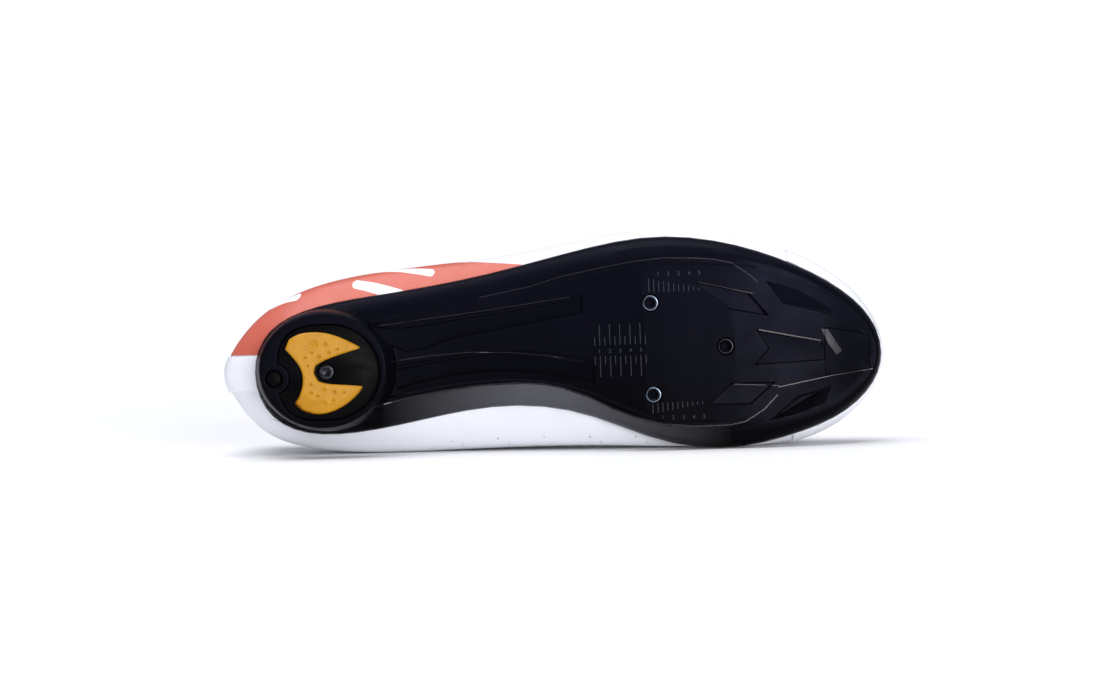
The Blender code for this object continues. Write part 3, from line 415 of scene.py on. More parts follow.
def footbed_finish():
    """Brushed polyester laid on the footbed's foam: a mid grey cloth."""
    return cloth_finish("footbed_cloth", linear("#4A4C55"), 0.0011, 0.00010)


def tongue_finish():
    """Spacer mesh with open cells, in the grey-white of the upper."""
    material, tree = blank("spacer_mesh")
    place = shoe_place(tree)
    inputs = {"Vector": place, "Scale": 1 / 0.0022, "Randomness": 0.0}
    cells = node(tree, "TexVoronoi", inputs).outputs["Distance"]
    inputs = {"Value": cells, "From Min": 0.2, "From Max": 0.55, "To Min": 0.0, "To Max": 1.0}
    rib = node(tree, "MapRange", inputs).outputs[0]
    inputs = {0: rib, 6: linear("#8F919B"), 7: linear("#ECEDF2")}
    tone = node(tree, "Mix", inputs, data_type="RGBA").outputs[2]
    closed(tree, tone, 0.8, [(rib, 0.00018)], Specular_IOR_Level=0.25, Sheen_Weight=0.15)
    return material


def thread_finish():
    """Bonded polyester thread: an off-white twist with a slight gloss."""
    colour = bpy.context.scene.shoe_finish.thread
    return plain_finish("bonded_thread", colour, (0.45, 0.55), (0.002, 0.05), [(0.0004, 0.00006)],
                        Specular_IOR_Level=0.4)


def print_finish():
    """Pad-printed ink: a thin grey layer, duller than the sole."""
    return plain_finish("pad_printed_ink", linear("#303238"), (0.50, 0.62), (0.0012, 0.30),
                        [(0.0003, 0.00001)], Specular_IOR_Level=0.2)


def ridge_finish():
    """The composite's raised lines: gloss catching the overhead light on their crown, and a painted
    highlight.
    """
    # Painted highlight: a base lighter than the sole's where its raised lines show light
    return plain_finish("glossy_composite_painted_highlight", linear("#14151B"), (0.24, 0.32), (0.004, 0.3),
                        [(0.0006, 0.00001)], Specular_IOR_Level=0.35)


def satin_finish():
    """The composite at the toe's arrow: a lighter grey satin, painted as a highlight."""
    # Painted highlight: a lighter grey where the toe's arrow shows light
    return plain_finish("arrow_painted_highlight", linear("#303036"), (0.36, 0.46), (0.006, 0.2),
                        [(0.0006, 0.00001)], Specular_IOR_Level=0.2)


FINISHES = {
    "composite": composite_finish, "wall": wall_finish, "ridge": ridge_finish, "satin": satin_finish,
    "print": print_finish, "microfibre": microfibre_finish, "coral": coral_finish, "film": film_finish,
    "rubber": rubber_finish, "nylon": nylon_finish, "nickel": nickel_finish,
    "black_steel": black_steel_finish, "lining": lining_finish, "footbed": footbed_finish,
    "tongue": tongue_finish, "thread": thread_finish,
}


def finish(name):
    """The material of a finish, made when it is first asked for."""
    if name not in MADE:
        MADE[name] = FINISHES[name]()
    return MADE[name]


# Modelling

def hold(piece):
    """Makes one piece the active and only selected object."""
    if bpy.context.object and bpy.context.object.mode != "OBJECT":
        bpy.ops.object.mode_set(mode="OBJECT")
    bpy.ops.object.select_all(action="DESELECT")
    bpy.context.view_layer.objects.active = piece
    piece.select_set(True)


def open_with(piece, kind="VERT", test=None):
    """Opens a piece in edit mode with the parts of one kind that pass a test selected, or all of them."""
    hold(piece)
    groups = {"VERT": piece.data.vertices, "EDGE": piece.data.edges, "FACE": piece.data.polygons}
    for group in groups.values():
        group.foreach_set("select", [False] * len(group))
    groups[kind].foreach_set("select", [test is None or bool(test(part)) for part in groups[kind]])
    bpy.context.tool_settings.mesh_select_mode = (kind == "VERT", kind == "EDGE", kind == "FACE")
    bpy.ops.object.mode_set(mode="EDIT")
    if test is None:
        bpy.ops.mesh.select_all(action="SELECT")


def close():
    """Back to object mode."""
    bpy.ops.object.mode_set(mode="OBJECT")


def stood_copy(node_name, name):
    """A merged copy of a CAD node on the standing shoe, its triangles paired into quads."""
    piece = bpy.data.objects.new(name, NODES[node_name].data.copy())
    piece.data.name = name
    piece.data.materials.clear()
    piece.data.transform(STOOD)
    bpy.context.scene.collection.objects.link(piece)
    hold(piece)
    bpy.ops.mesh.customdata_custom_splitnormals_clear()
    open_with(piece)
    bpy.ops.mesh.remove_doubles(threshold=0.00001)
    bpy.ops.mesh.tris_convert_to_quads(face_threshold=math.radians(30), shape_threshold=math.radians(60))
    close()
    return piece


def begun(name, add, **settings):
    """A new piece, made by one of Blender's operators that add a shape."""
    bpy.ops.object.select_all(action="DESELECT")
    add(**settings)
    piece = bpy.context.object
    piece.name = piece.data.name = name
    return piece


def copy_of(piece, name):
    """A copy of a piece with its own mesh."""
    made = piece.copy()
    made.data = piece.data.copy()
    made.name = made.data.name = name
    bpy.context.scene.collection.objects.link(made)
    return made


def applied(piece, kind, **settings):
    """Adds a modifier to a piece and applies it."""
    hold(piece)
    modifier = piece.modifiers.new(kind.lower(), kind)
    for name, value in settings.items():
        setattr(modifier, name, value)
    bpy.ops.object.modifier_apply(modifier=modifier.name)
    return piece


def rounded(piece, width, segments=2, degrees=30):
    """Rounds the edges of a piece that are sharper than an angle."""
    return applied(piece, "BEVEL", width=width, segments=segments, limit_method="ANGLE",
                   angle_limit=math.radians(degrees), use_clamp_overlap=False)


def creased(piece, degrees, value):
    """Creases the edges of a piece that are sharper than an angle."""
    open_with(piece, "EDGE", lambda edge: False)
    bpy.ops.mesh.edges_select_sharp(sharpness=math.radians(degrees))
    bpy.ops.transform.edge_crease(value=value)
    close()


def joined(name, pieces):
    """Joins pieces into one."""
    hold(pieces[0])
    for piece in pieces:
        piece.select_set(True)
    bpy.ops.object.join()
    pieces[0].name = pieces[0].data.name = name
    return pieces[0]


def cut(piece, point, normal):
    """Cuts a piece by a plane and clears the side that the normal points to."""
    open_with(piece)
    bpy.ops.mesh.bisect(plane_co=point, plane_no=normal, clear_outer=True)
    close()


def kept_faces(piece, test):
    """Deletes the faces of a piece that don't pass a test."""
    open_with(piece, "FACE", lambda face: not test(face))
    bpy.ops.mesh.delete(type="FACE")
    close()


def laid(piece, finishes, nodes=(), degrees=35):
    """Lays a finished standing piece down in its place, with its finishes, on the shoe's body."""
    hold(piece)
    bpy.ops.object.shade_smooth_by_angle(angle=math.radians(degrees))
    if not piece.data.materials:
        for name in finishes:
            piece.data.materials.append(finish(name))
    piece.data.transform(LAID)
    piece.data.update()
    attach(piece, "root")
    if nodes:
        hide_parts(*nodes)
    return piece


def tree_of(piece, test=None):
    """A search tree of a piece's faces, or of those that pass a test."""
    faces = [tuple(face.vertices) for face in piece.data.polygons if test is None or test(face)]
    return BVHTree.FromPolygons([vertex.co.copy() for vertex in piece.data.vertices], faces)


def sole_point(along, across):
    """The place and outward normal of the sole's underside."""
    place, normal, _, _ = MADE["sole_tree"].ray_cast(Vector((along, across, -0.05)), Vector((0, 0, 1)))
    if place is None:
        raise RuntimeError(f"no sole at {along:.4f}, {across:.4f}")
    return place, normal if normal.z < 0 else -normal


def core_point(along):
    """The point of the shoe's core nearest a place along it."""
    return Vector((min(max(along, CORE_ENDS[0]), CORE_ENDS[1]), 0, CORE_HEIGHT))


# How far from the shoe's core the rays toward it start, in metres
RAY_START = 0.13


def skin_point(tree, along, degrees):
    """The place and normal of a skin at an angle from straight up, which is above 0 on the inner side."""
    turn = math.radians(degrees)
    out = Vector((0, math.sin(turn), math.cos(turn)))
    axis = Vector((along, 0, CORE_HEIGHT))
    place, normal, _, _ = tree.ray_cast(axis + out * RAY_START, -out, RAY_START)
    return (place, normal) if place else None


def seated(place, normal, forward):
    """The matrix of a small shape seated at a place: its +Z along the normal, its +X near forward."""
    up = normal.normalized()
    along = forward - up * forward.dot(up)
    along = along.normalized() if along.length > 1e-9 else up.orthogonal().normalized()
    return Matrix.Translation(place) @ Matrix((along, up.cross(along), up)).transposed().to_4x4()


def copies(name, pattern, places):
    """Copies one small shape to each place and joins the copies."""
    made = []
    for place in places:
        one = copy_of(pattern, name)
        one.data.transform(place)
        made.append(one)
    bpy.data.objects.remove(pattern)
    return joined(name, made)


def turned(name, profile, steps=48):
    """Turns a profile of radii and heights into a solid, each row drawn out from the one before."""
    radius, height = profile[0]
    piece = begun(name, bpy.ops.mesh.primitive_circle_add, vertices=steps, radius=radius,
                  location=(0, 0, height))
    bpy.ops.object.transform_apply(location=True, rotation=False, scale=False)
    open_with(piece)
    for (radius, height), (wider, higher) in zip(profile, profile[1:]):
        bpy.ops.mesh.extrude_edges_move(TRANSFORM_OT_translate={"value": (0, 0, higher - height)})
        bpy.ops.transform.resize(value=(wider / radius, wider / radius, 1), center_override=(0, 0, 0))
    bpy.ops.mesh.select_all(action="SELECT")
    bpy.ops.mesh.remove_doubles(threshold=0.000002)
    bpy.ops.mesh.select_all(action="DESELECT")
    bpy.ops.mesh.select_non_manifold()
    if piece.data.total_edge_sel:
        bpy.ops.mesh.edge_face_add()
    bpy.ops.mesh.select_all(action="SELECT")
    bpy.ops.mesh.normals_make_consistent(inside=False)
    close()
    return piece


def bar_shape(size, chamfer):
    """A small bar with chamfered edges."""
    piece = begun("bar", bpy.ops.mesh.primitive_cube_add, size=1)
    open_with(piece)
    bpy.ops.transform.resize(value=size)
    bpy.ops.mesh.bevel(offset=chamfer, segments=1)
    close()
    return piece


def evenly(places, pitch):
    """Points and normals at even steps on a line of points and normals."""
    found, left = [], 0.0
    for (start, one), (end, other) in zip(places, places[1:]):
        run = end - start
        while left <= run.length and run.length > 0:
            share = left / run.length
            found.append((start + run * share, one.lerp(other, share), run.normalized()))
            left += pitch
        left -= run.length
    return found


# Width and height of a stitch, and its chamfer
STITCH_SECTION = (0.00055, 0.00050)
STITCH_CHAMFER = 0.00020


def sewn(name, lines):
    """Rows of stitches along lines of points and normals."""
    sizes = bpy.context.scene.shoe_sizes
    spots = [seated(place, normal, run) for line in lines
             for place, normal, run in evenly(line, sizes.stitch_pitch)]
    stitch = bar_shape((sizes.stitch, *STITCH_SECTION), STITCH_CHAMFER)
    return laid(copies(name, stitch, spots), ["thread"])


# Pieces

# Creases between the sole's flat and its walls, in millimetres along and out from the middle
INNER_CREASE = (
    (52.3, -16.8), (67.4, -13.3), (83.9, -10.6), (100.3, -8.7), (116.7, -8.1), (128.6, -8.9), (137.5, -11.0),
    (149.3, -15.5), (159.5, -20.9), (169.8, -25.2), (181.6, -28.6), (196.5, -30.1), (211.4, -29.9),
    (218.1, -28.6), (226.5, -23.5), (232.7, -17.2))
OUTER_CREASE = (
    (101.7, 30.3), (124.2, 34.4), (139.3, 38.5), (154.3, 41.2), (169.3, 43.6), (184.2, 44.9), (199.1, 44.3),
    (206.6, 43.5), (214.0, 41.8), (222.7, 35.7), (225.6, 32.6))

# Where the inner wall with its painted reflection runs out into the toe, in metres along the shoe
WALL_END = 0.214


def crease_at(points, along):
    """How far out a crease lies at a place along the shoe, in millimetres, or None beyond its ends."""
    for (start, out), (end, outer) in zip(points, points[1:]):
        if start <= along <= end:
            return out + (outer - out) * (along - start) / (end - start)
    return None


class SHOE_OT_sole(bpy.types.Operator):
    """Sole: the moulded composite with rounded edges."""

    bl_idname = "shoe.sole"
    bl_label = "Sole"

    def execute(self, context):
        piece = stood_copy("outsole", "sole")
        open_with(piece)
        bpy.ops.mesh.dissolve_limited(angle_limit=math.radians(0.4))
        bpy.ops.mesh.remove_doubles(threshold=0.00012)
        bpy.ops.mesh.quads_convert_to_tris(quad_method="BEAUTY", ngon_method="BEAUTY")
        close()
        MADE["sole_tree"] = tree_of(piece)
        rounded(piece, context.scene.shoe_sizes.edge_round, 2, 17)
        # The inner wall's faces take the wall finish, whose grey along the arch is a painted reflection
        for name in ("composite", "wall"):
            piece.data.materials.append(finish(name))
        for face in piece.data.polygons:
            inner = crease_at(INNER_CREASE, face.center.x * 1000)
            wall = inner is not None and face.center.x < WALL_END and -face.center.y * 1000 < inner - 0.3
            face.material_index = int(wall)
        laid(piece, [], ["outsole"], degrees=30)
        applied(piece, "WEIGHTED_NORMAL", keep_sharp=True)
        return {"FINISHED"}


# The bend, in degrees, that parts the upper's skin, its lining and the strips round its openings, and the
# largest area of such a strip, in square metres
SHELL_SHARP = 50
EDGE_AREA = 0.006


def islands(mesh, degrees):
    """The faces of a mesh, grouped by where edges sharper than an angle part them."""
    pairs = {}
    for face in mesh.polygons:
        for key in face.edge_keys:
            pairs.setdefault(key, []).append(face.index)
    limit = math.cos(math.radians(degrees))
    linked = {face.index: [] for face in mesh.polygons}
    for pair in pairs.values():
        if len(pair) == 2 and mesh.polygons[pair[0]].normal.dot(mesh.polygons[pair[1]].normal) > limit:
            linked[pair[0]].append(pair[1])
            linked[pair[1]].append(pair[0])
    seen, groups = set(), []
    for start in linked:
        if start in seen:
            continue
        seen.add(start)
        group, queue = [], [start]
        while queue:
            one = queue.pop()
            group.append(mesh.polygons[one])
            fresh = [other for other in linked[one] if other not in seen]
            seen.update(fresh)
            queue += fresh
        groups.append(group)
    return groups


def upper_shell():
    """The upper with its skin, lining and edges told apart, rounded by subdivision."""
    piece = stood_copy("upper", "upper_shell")
    for name in ("microfibre", "lining", "microfibre"):
        piece.data.materials.append(finish(name))
    for group in islands(piece.data, SHELL_SHARP):
        area = sum(face.area for face in group)
        facing = sum(face.area * face.normal.dot((face.center - core_point(face.center.x)).normalized())
                     for face in group)
        for face in group:
            face.material_index = EDGE if area < EDGE_AREA else SKIN if facing > 0 else LINING
    creased(piece, SHELL_SHARP, 0.9)
    return applied(piece, "SUBSURF", levels=2, render_levels=2)


# Planes that bound the coral panel, the heel strip and the collar's padding: a point, and the direction in
# which the rest is cut away
CORAL_CUTS = (((0, -0.0084, 0), (0, 1, 0)), ((0.1194, 0, 0.0198), (0.369, 0, 0.930)))
STRIP_CUTS = (((0, -0.0078, 0), (0, -1, 0)), ((0, 0.0078, 0), (0, 1, 0)), ((0.06, 0, 0), (1, 0, 0)))
COLLAR_CUTS = (((0, 0, 0.064), (0.06, 0, -1)), ((0.098, 0, 0), (1, 0, 0.3)))

# Vertices nearer to each other than these are merged, in a film and in a patch that is smoothed afterwards
FILM_MERGE = 0.0004
PATCH_MERGE = 0.0006


def patch(shell, name, planes, kind=SKIN):
    """A copy of one of the upper's skins, bounded by planes."""
    piece = copy_of(shell, name)
    kept_faces(piece, lambda face: face.material_index == kind)
    piece.data.materials.clear()
    for point, normal in planes:
        cut(piece, point, normal)
    return piece


def merged(piece, reach):
    """Merges the vertices that a cut left nearer to each other than this."""
    open_with(piece)
    bpy.ops.mesh.remove_doubles(threshold=reach)
    bpy.ops.mesh.delete_loose()
    close()


# How far a film sinks into the skin
FILM_SINK = 0.0001


def film_of(piece, thickness, softness=0.0002):
    """Gives a patch its thickness, outward from the skin under it and a little into it."""
    merged(piece, FILM_MERGE)
    whole = thickness + FILM_SINK
    applied(piece, "SOLIDIFY", thickness=whole, offset=1 - 2 * FILM_SINK / whole, use_even_offset=False)
    return rounded(piece, softness, 2, 50)


# The lowest punched hole of the first row, from one row to the next, the rows and their holes, the slant of a
# row along and up the skin, and the spacing of its holes
VENT_START = (0.0868, 0.0330, 0.0286)
VENT_ROW = (0.0207, 0, -0.0033)
VENT_ROWS = 5
VENT_HOLES = 8
VENT_SLANT = (0.0047, 0.0023)
VENT_PITCH = 0.0053


def vent_spots(tree):
    """Where the upper is punched: slanting rows up its inner side."""
    spots = []
    forward, climbing = VENT_SLANT
    for row in range(VENT_ROWS):
        place = Vector(VENT_START) + Vector(VENT_ROW) * row
        for _ in range(VENT_HOLES):
            place, normal, _, _ = tree.find_nearest(place)
            spots.append((place, normal))
            climb = normal.cross(Vector((1, 0, 0))).normalized()
            if climb.z < 0:
                climb = -climb
            place = place + (Vector((forward, 0, 0)) + climb * climbing).normalized() * VENT_PITCH
    return spots


class SHOE_OT_upper(bpy.types.Operator):
    """Upper: white coated microfibre over a knit lining, punched, with its films, cap and heel strip."""

    bl_idname = "shoe.upper"
    bl_label = "Upper"

    def execute(self, context):
        sizes = context.scene.shoe_sizes
        shell = upper_shell()
        skin = tree_of(shell, lambda face: face.material_index == SKIN)
        MADE["skin"] = skin

        coral = patch(shell, "coral_panel", CORAL_CUTS)
        laid(film_of(coral, sizes.film), ["coral"])

        strip = patch(shell, "heel_strip_film", STRIP_CUTS)
        laid(film_of(strip, sizes.cap, 0.0004), ["film"], ["heel_strip"])

        start = min((STOOD @ vertex.co).x for vertex in NODES["toe_cap"].data.vertices)
        cap = patch(shell, "toe_cap_film", [((start, 0, 0), (-1, 0, 0))])
        merged(cap, PATCH_MERGE)
        applied(cap, "SMOOTH", factor=0.5, iterations=5)
        laid(film_of(cap, sizes.cap, 0.0004), ["film"], ["toe_cap"])
        MADE["cap_start"] = start

        punch = turned("punch", [(sizes.hole / 2, -0.0013), (sizes.hole / 2, 0.0012)], 10)
        places = [seated(place, normal, Vector((1, 0, 0))) for place, normal in vent_spots(skin)]
        punches = copies("punches", punch, places)
        punches.data.materials.append(finish("microfibre"))
        applied(shell, "BOOLEAN", object=punches, operation="DIFFERENCE", solver="EXACT",
                material_mode="TRANSFER")
        bpy.data.objects.remove(punches)
        laid(shell, [], ["upper"], degrees=40)
        return {"FINISHED"}


class SHOE_OT_collar(bpy.types.Operator):
    """Collar: foam padding under the lining round the ankle."""

    bl_idname = "shoe.collar"
    bl_label = "Collar padding"

    def execute(self, context):
        shell = upper_shell()
        piece = patch(shell, "collar_padding", COLLAR_CUTS, LINING)
        bpy.data.objects.remove(shell)
        merged(piece, PATCH_MERGE)
        padding = context.scene.shoe_sizes.collar
        applied(piece, "SOLIDIFY", thickness=padding, offset=1, use_even_offset=False)
        applied(piece, "REMESH", mode="VOXEL", voxel_size=0.0010)
        applied(piece, "SMOOTH", factor=0.5, iterations=8)
        laid(piece, ["lining"], degrees=60)
        return {"FINISHED"}


# The sewn channels along the tongue: how far out they lie, their width and their depth
CHANNELS = (-0.0105, 0.0, 0.0105)
CHANNEL_WIDTH = 0.0012
CHANNEL_DEPTH = 0.0006


class SHOE_OT_tongue(bpy.types.Operator):
    """Tongue: spacer mesh over foam, with three sewn channels."""

    bl_idname = "shoe.tongue"
    bl_label = "Tongue"

    def execute(self, context):
        piece = stood_copy("tongue", "tongue_pad")
        creased(piece, 50, 0.5)
        applied(piece, "SUBSURF", levels=2, render_levels=2)
        for vertex in piece.data.vertices:
            sink = max(math.exp(-((vertex.co.y - side) / CHANNEL_WIDTH) ** 2) for side in CHANNELS)
            vertex.co -= vertex.normal * (CHANNEL_DEPTH * sink)
        laid(piece, ["tongue"], ["tongue"], degrees=60)
        return {"FINISHED"}


class SHOE_OT_footbed(bpy.types.Operator):
    """Insole: foam with a cloth top."""

    bl_idname = "shoe.footbed"
    bl_label = "Footbed"

    def execute(self, context):
        piece = stood_copy("insole", "footbed")
        rounded(piece, 0.0005, 2, 40)
        laid(piece, ["footbed"], ["insole"], degrees=50)
        return {"FINISHED"}


# How far from a strap's side its stitches run
STRAP_INSET = 0.0030


class SHOE_OT_straps(bpy.types.Operator):
    """Straps: microfibre with rounded edges, sewn along both sides."""

    bl_idname = "shoe.straps"
    bl_label = "Straps"

    def execute(self, context):
        lines = []
        for which in ("lower", "middle", "upper"):
            piece = stood_copy("strap_" + which, "band_" + which)
            tree = tree_of(piece)
            xs = [vertex.co.x for vertex in piece.data.vertices]
            low, high = min(xs), max(xs)
            for along in (low + STRAP_INSET, high - STRAP_INSET):
                line = []
                for degrees in range(-80, 81, 4):
                    found = skin_point(tree, along, degrees)
                    if found:
                        line.append((found[0], found[1] if found[1].z > -0.5 else -found[1]))
                if len(line) > 3:
                    lines.append(line)
            rounded(piece, 0.0005, 3, 40)
            laid(piece, ["microfibre"], ["strap_" + which], degrees=50)
        sewn("strap_stitches", lines)
        return {"FINISHED"}


# Pits of the pad, in metres along and across the shoe, with their radius
PITS = tuple((x / 1000, -y / 1000, r / 1000) for x, y, r in (
    (28.5, 12.3, 1.65), (33.3, 12.0, 0.82), (38.6, 9.6, 0.59), (27.1, 8.5, 0.59), (24.1, 6.4, 0.77),
    (30.4, 6.6, 0.77), (34.7, 8.3, 0.77), (25.3, 2.7, 0.59), (26.4, -5.6, 0.59), (26.3, -9.4, 0.77),
    (29.2, -10.8, 0.71), (32.2, -8.0, 0.82), (36.7, -9.2, 0.77), (40.9, -9.5, 0.53), (36.2, -12.8, 0.71),
    (31.7, -14.1, 1.53)))

# The middle of the pad, how far its inner lobe stays flat from there, and its slope beyond
PAD_MIDDLE = (0.0335, 0.0)
PAD_FLAT = 0.0140
PAD_SLOPE = math.radians(17)

# How deep a pit goes, how high the lip round it stands, and how many radii the lip reaches
PIT_DEPTH = 0.00062
PIT_LIP = 0.00014
PIT_REACH = 1.8


class SHOE_OT_heel(bpy.types.Operator):
    """Heel tread: nylon plate, amber rubber pad with pits, screw and plug."""

    bl_idname = "shoe.heel"
    bl_label = "Heel tread"

    def execute(self, context):
        plate = stood_copy("heel_plate", "tread_plate")
        rounded(plate, 0.0004, 2, 40)
        laid(plate, ["nylon"], ["heel_plate"])

        pad = stood_copy("heel_pad", "tread_pad")
        creased(pad, 32, 1.0)
        applied(pad, "SUBSURF", levels=3, render_levels=3)
        applied(pad, "REMESH", mode="VOXEL", voxel_size=0.00028)
        applied(pad, "SMOOTH", factor=0.5, iterations=4)
        for vertex in pad.data.vertices:
            if vertex.normal.z > -0.5:
                continue
            flat = Vector((vertex.co.x, vertex.co.y))
            off = flat - Vector(PAD_MIDDLE)
            if off.y > 0:
                vertex.co.z += math.tan(PAD_SLOPE) * max(0.0, off.length - PAD_FLAT)
            for along, across, radius in PITS:
                share = (flat - Vector((along, across))).length / radius
                if share < PIT_REACH:
                    bowl = PIT_DEPTH * math.exp(-(share / 0.75) ** 4)
                    lip = PIT_LIP * math.exp(-((share - 1.25) / 0.22) ** 2)
                    vertex.co.z += bowl - lip
        laid(pad, ["rubber"], ["heel_pad"])

        for node_name, name, finish_name, slot in (
                ("heel_screw", "tread_screw", "black_steel", "dark_steel"),
                ("heel_plug", "sole_plug", "nylon", "black_plastic")):
            piece = stood_copy(node_name, name)
            rounded(piece, 0.0003, 2, 40)
            laid(piece, [finish_name], [node_name])
        return {"FINISHED"}


class SHOE_OT_inserts(bpy.types.Operator):
    """Cleat inserts: turned steel nuts with a chamfered rim and a threaded bore."""

    bl_idname = "shoe.inserts"
    bl_label = "Cleat inserts"

    def execute(self, context):
        bore, rim, deep = 0.0021, 0.0036, 0.0045
        thread = []
        for turn in range(7):
            height = deep - 0.0004 - turn * 0.0005
            thread += [(bore, height), (bore + 0.00022, height - 0.00025)]
        chamfer = [(bore + 0.0002, 0.0012), (bore + 0.0005, 0.0005), (bore + 0.0007, 0.0001)]
        face = [(rim - 0.0004, 0.0001), (rim - 0.0002, 0.0002), (rim, 0.0005)]
        profile = [(bore, deep)] + thread + chamfer + face + [(rim, deep), (bore, deep)]
        for side, finish_name, slot in (
                ("outer", "nickel", "steel"),
                ("inner", "nickel", "steel"),
                ("front", "black_steel", "dark_steel")):
            piece = turned("threaded_insert_" + side, profile)
            place = STOOD @ middle("cleat_insert_" + side)
            piece.data.transform(Matrix.Translation(place - Vector((0, 0, deep / 2))))
            laid(piece, [finish_name], ["cleat_insert_" + side])
        return {"FINISHED"}


# Height and chamfer of a printed line, with half of the height sunk in the sole
INK_HEIGHT = 0.00022
INK_CHAMFER = 0.00005

# Rows of numerals: where each starts along the shoe and how far across it lies, the spacing of its numerals,
# the size of their type and half their depth
NUMERAL_ROWS = ((0.1545, -0.0046), (0.1815, -0.0378), (0.1815, 0.0258))
NUMERAL_PITCH = 0.0046
NUMERAL_SIZE = 0.0026
NUMERAL_DEPTH = 0.00012


def scale_lines():
    """The lines of the three cleat scales: along, from and to across, in metres."""
    lines = []
    for step in range(11):
        along = 0.1525 + 0.00225 * step
        long_one = step % 2 == 1
        lines.append((along, -0.0164 if long_one else -0.0109, -0.0072))
        lines.append((along, -0.0023, 0.0069 if long_one else 0.0013))
        fade = 1 - step / 13
        along = 0.1773 + 0.0022 * step
        lines.append((along, -0.0299 - 0.0061 * fade, -0.0299))
        lines.append((along, 0.0190, 0.0190 + 0.0050 * fade))
    return lines


class SHOE_OT_marks(bpy.types.Operator):
    """Marks of the sole: printed cleat scales with plain numerals."""

    bl_idname = "shoe.marks"
    bl_label = "Sole marks"

    def execute(self, context):
        width = context.scene.shoe_sizes.mark
        bars = []
        for along, start, end in scale_lines():
            place, normal = sole_point(along, (start + end) / 2)
            bar = bar_shape((width, abs(end - start), INK_HEIGHT), INK_CHAMFER)
            bar.data.transform(seated(place, normal, Vector((1, 0, 0))))
            bars.append(bar)
        laid(joined("scale_lines", bars), ["print"])

        numerals = []
        for start, across in NUMERAL_ROWS:
            for count in range(5):
                place, normal = sole_point(start + NUMERAL_PITCH * count, across)
                bpy.ops.object.text_add(radius=NUMERAL_SIZE)
                text = bpy.context.object
                text.data.body = str(count + 1)
                text.data.align_x = "CENTER"
                text.data.align_y = "CENTER"
                text.data.extrude = NUMERAL_DEPTH
                hold(text)
                bpy.ops.object.convert(target="MESH")
                text = bpy.context.object
                text.data.transform(seated(place, normal, Vector((1, 0, 0))))
                numerals.append(text)
        laid(joined("scale_numerals", numerals), ["print"])
        return {"FINISHED"}


# Raised lines of the sole: half their width, and their points in millimetres along and out from the middle
RIDGES = (
    (0.26, ((57, 19.6), (67, 20.6), (76, 21.6), (91, 23.1), (115, 25.8), (142, 29.2))),
    (0.26, ((62, 3.4), (79, 5.3), (97, 6.2), (114, 5.6), (132, 3.4), (147, 0.3))),
    (0.42, INNER_CREASE),
    (0.30, ((233, -14), (257, -9.7), (275.6, -7.3))),
    (0.50, ((225.3, 11.7), (239, 8.8), (252.6, 6.0))),
    (0.20, OUTER_CREASE),
    (0.20, ((198.9, 33.8), (223.3, 27.8))),
    (0.20, ((213.8, -12.0), (233.4, -13.3))),
)

# From one point of a raised line to the next, in millimetres
RIDGE_STEP = 2.5

# Corners of the arrow at the toe, in millimetres along and out from the middle
ARROW = ((252.8, 11.3), (256.1, 10.9), (262, 1.1), (259.4, -0.6), (255.9, 4.6))


class SHOE_OT_ridges(bpy.types.Operator):
    """Raised lines of the sole and the arrow at its toe."""

    bl_idname = "shoe.ridges"
    bl_label = "Sole ridges"

    def execute(self, context):
        made = []
        for half, points in RIDGES:
            curve = bpy.data.curves.new("sole_ridge", "CURVE")
            curve.dimensions = "3D"
            curve.bevel_depth = half / 1000
            curve.bevel_resolution = 1
            curve.use_fill_caps = True
            spots = []
            for (along, out), (further, outer) in zip(points, points[1:]):
                count = max(2, int((further - along) / RIDGE_STEP))
                for step in range(count):
                    share = step / count
                    spots.append((along + (further - along) * share, out + (outer - out) * share))
            spots.append(points[-1])
            places = [sole_point(along / 1000, -out / 1000)[0] for along, out in spots]
            spline = curve.splines.new("POLY")
            spline.points.add(len(places) - 1)
            for point, place in zip(spline.points, places):
                point.co = (*place, 1)
            piece = bpy.data.objects.new("sole_ridge", curve)
            context.scene.collection.objects.link(piece)
            hold(piece)
            bpy.ops.object.convert(target="MESH")
            made.append(context.object)
        laid(joined("sole_ridges", made), ["ridge"])

        arrow = begun("toe_arrow", bpy.ops.mesh.primitive_circle_add, vertices=len(ARROW), radius=0.005,
                      fill_type="NGON")
        for vertex, (along, out) in zip(arrow.data.vertices, ARROW):
            vertex.co = sole_point(along / 1000, -out / 1000)[0] + Vector((0, 0, 0.0002))
        open_with(arrow)
        bpy.ops.mesh.extrude_region_move(TRANSFORM_OT_translate={"value": (0, 0, -0.0006)})
        bpy.ops.mesh.select_all(action="SELECT")
        bpy.ops.mesh.normals_make_consistent(inside=False)
        close()
        rounded(arrow, 0.0002, 2, 30)
        laid(arrow, ["satin"])
        return {"FINISHED"}


def rim_degrees(skin, along, side):
    """The angle from straight up at which the skin begins beside the throat and the collar, or None."""
    for degrees in range(0, 100):
        if skin_point(skin, along, side * degrees):
            return degrees
    return None


# How far the throat's web runs back under the tongue, how many degrees it tucks in under each edge, and how
# far it lies below the skin
WEB_OVERLAP = 0.012
WEB_TUCK = 9
WEB_DEPTH = 0.0030


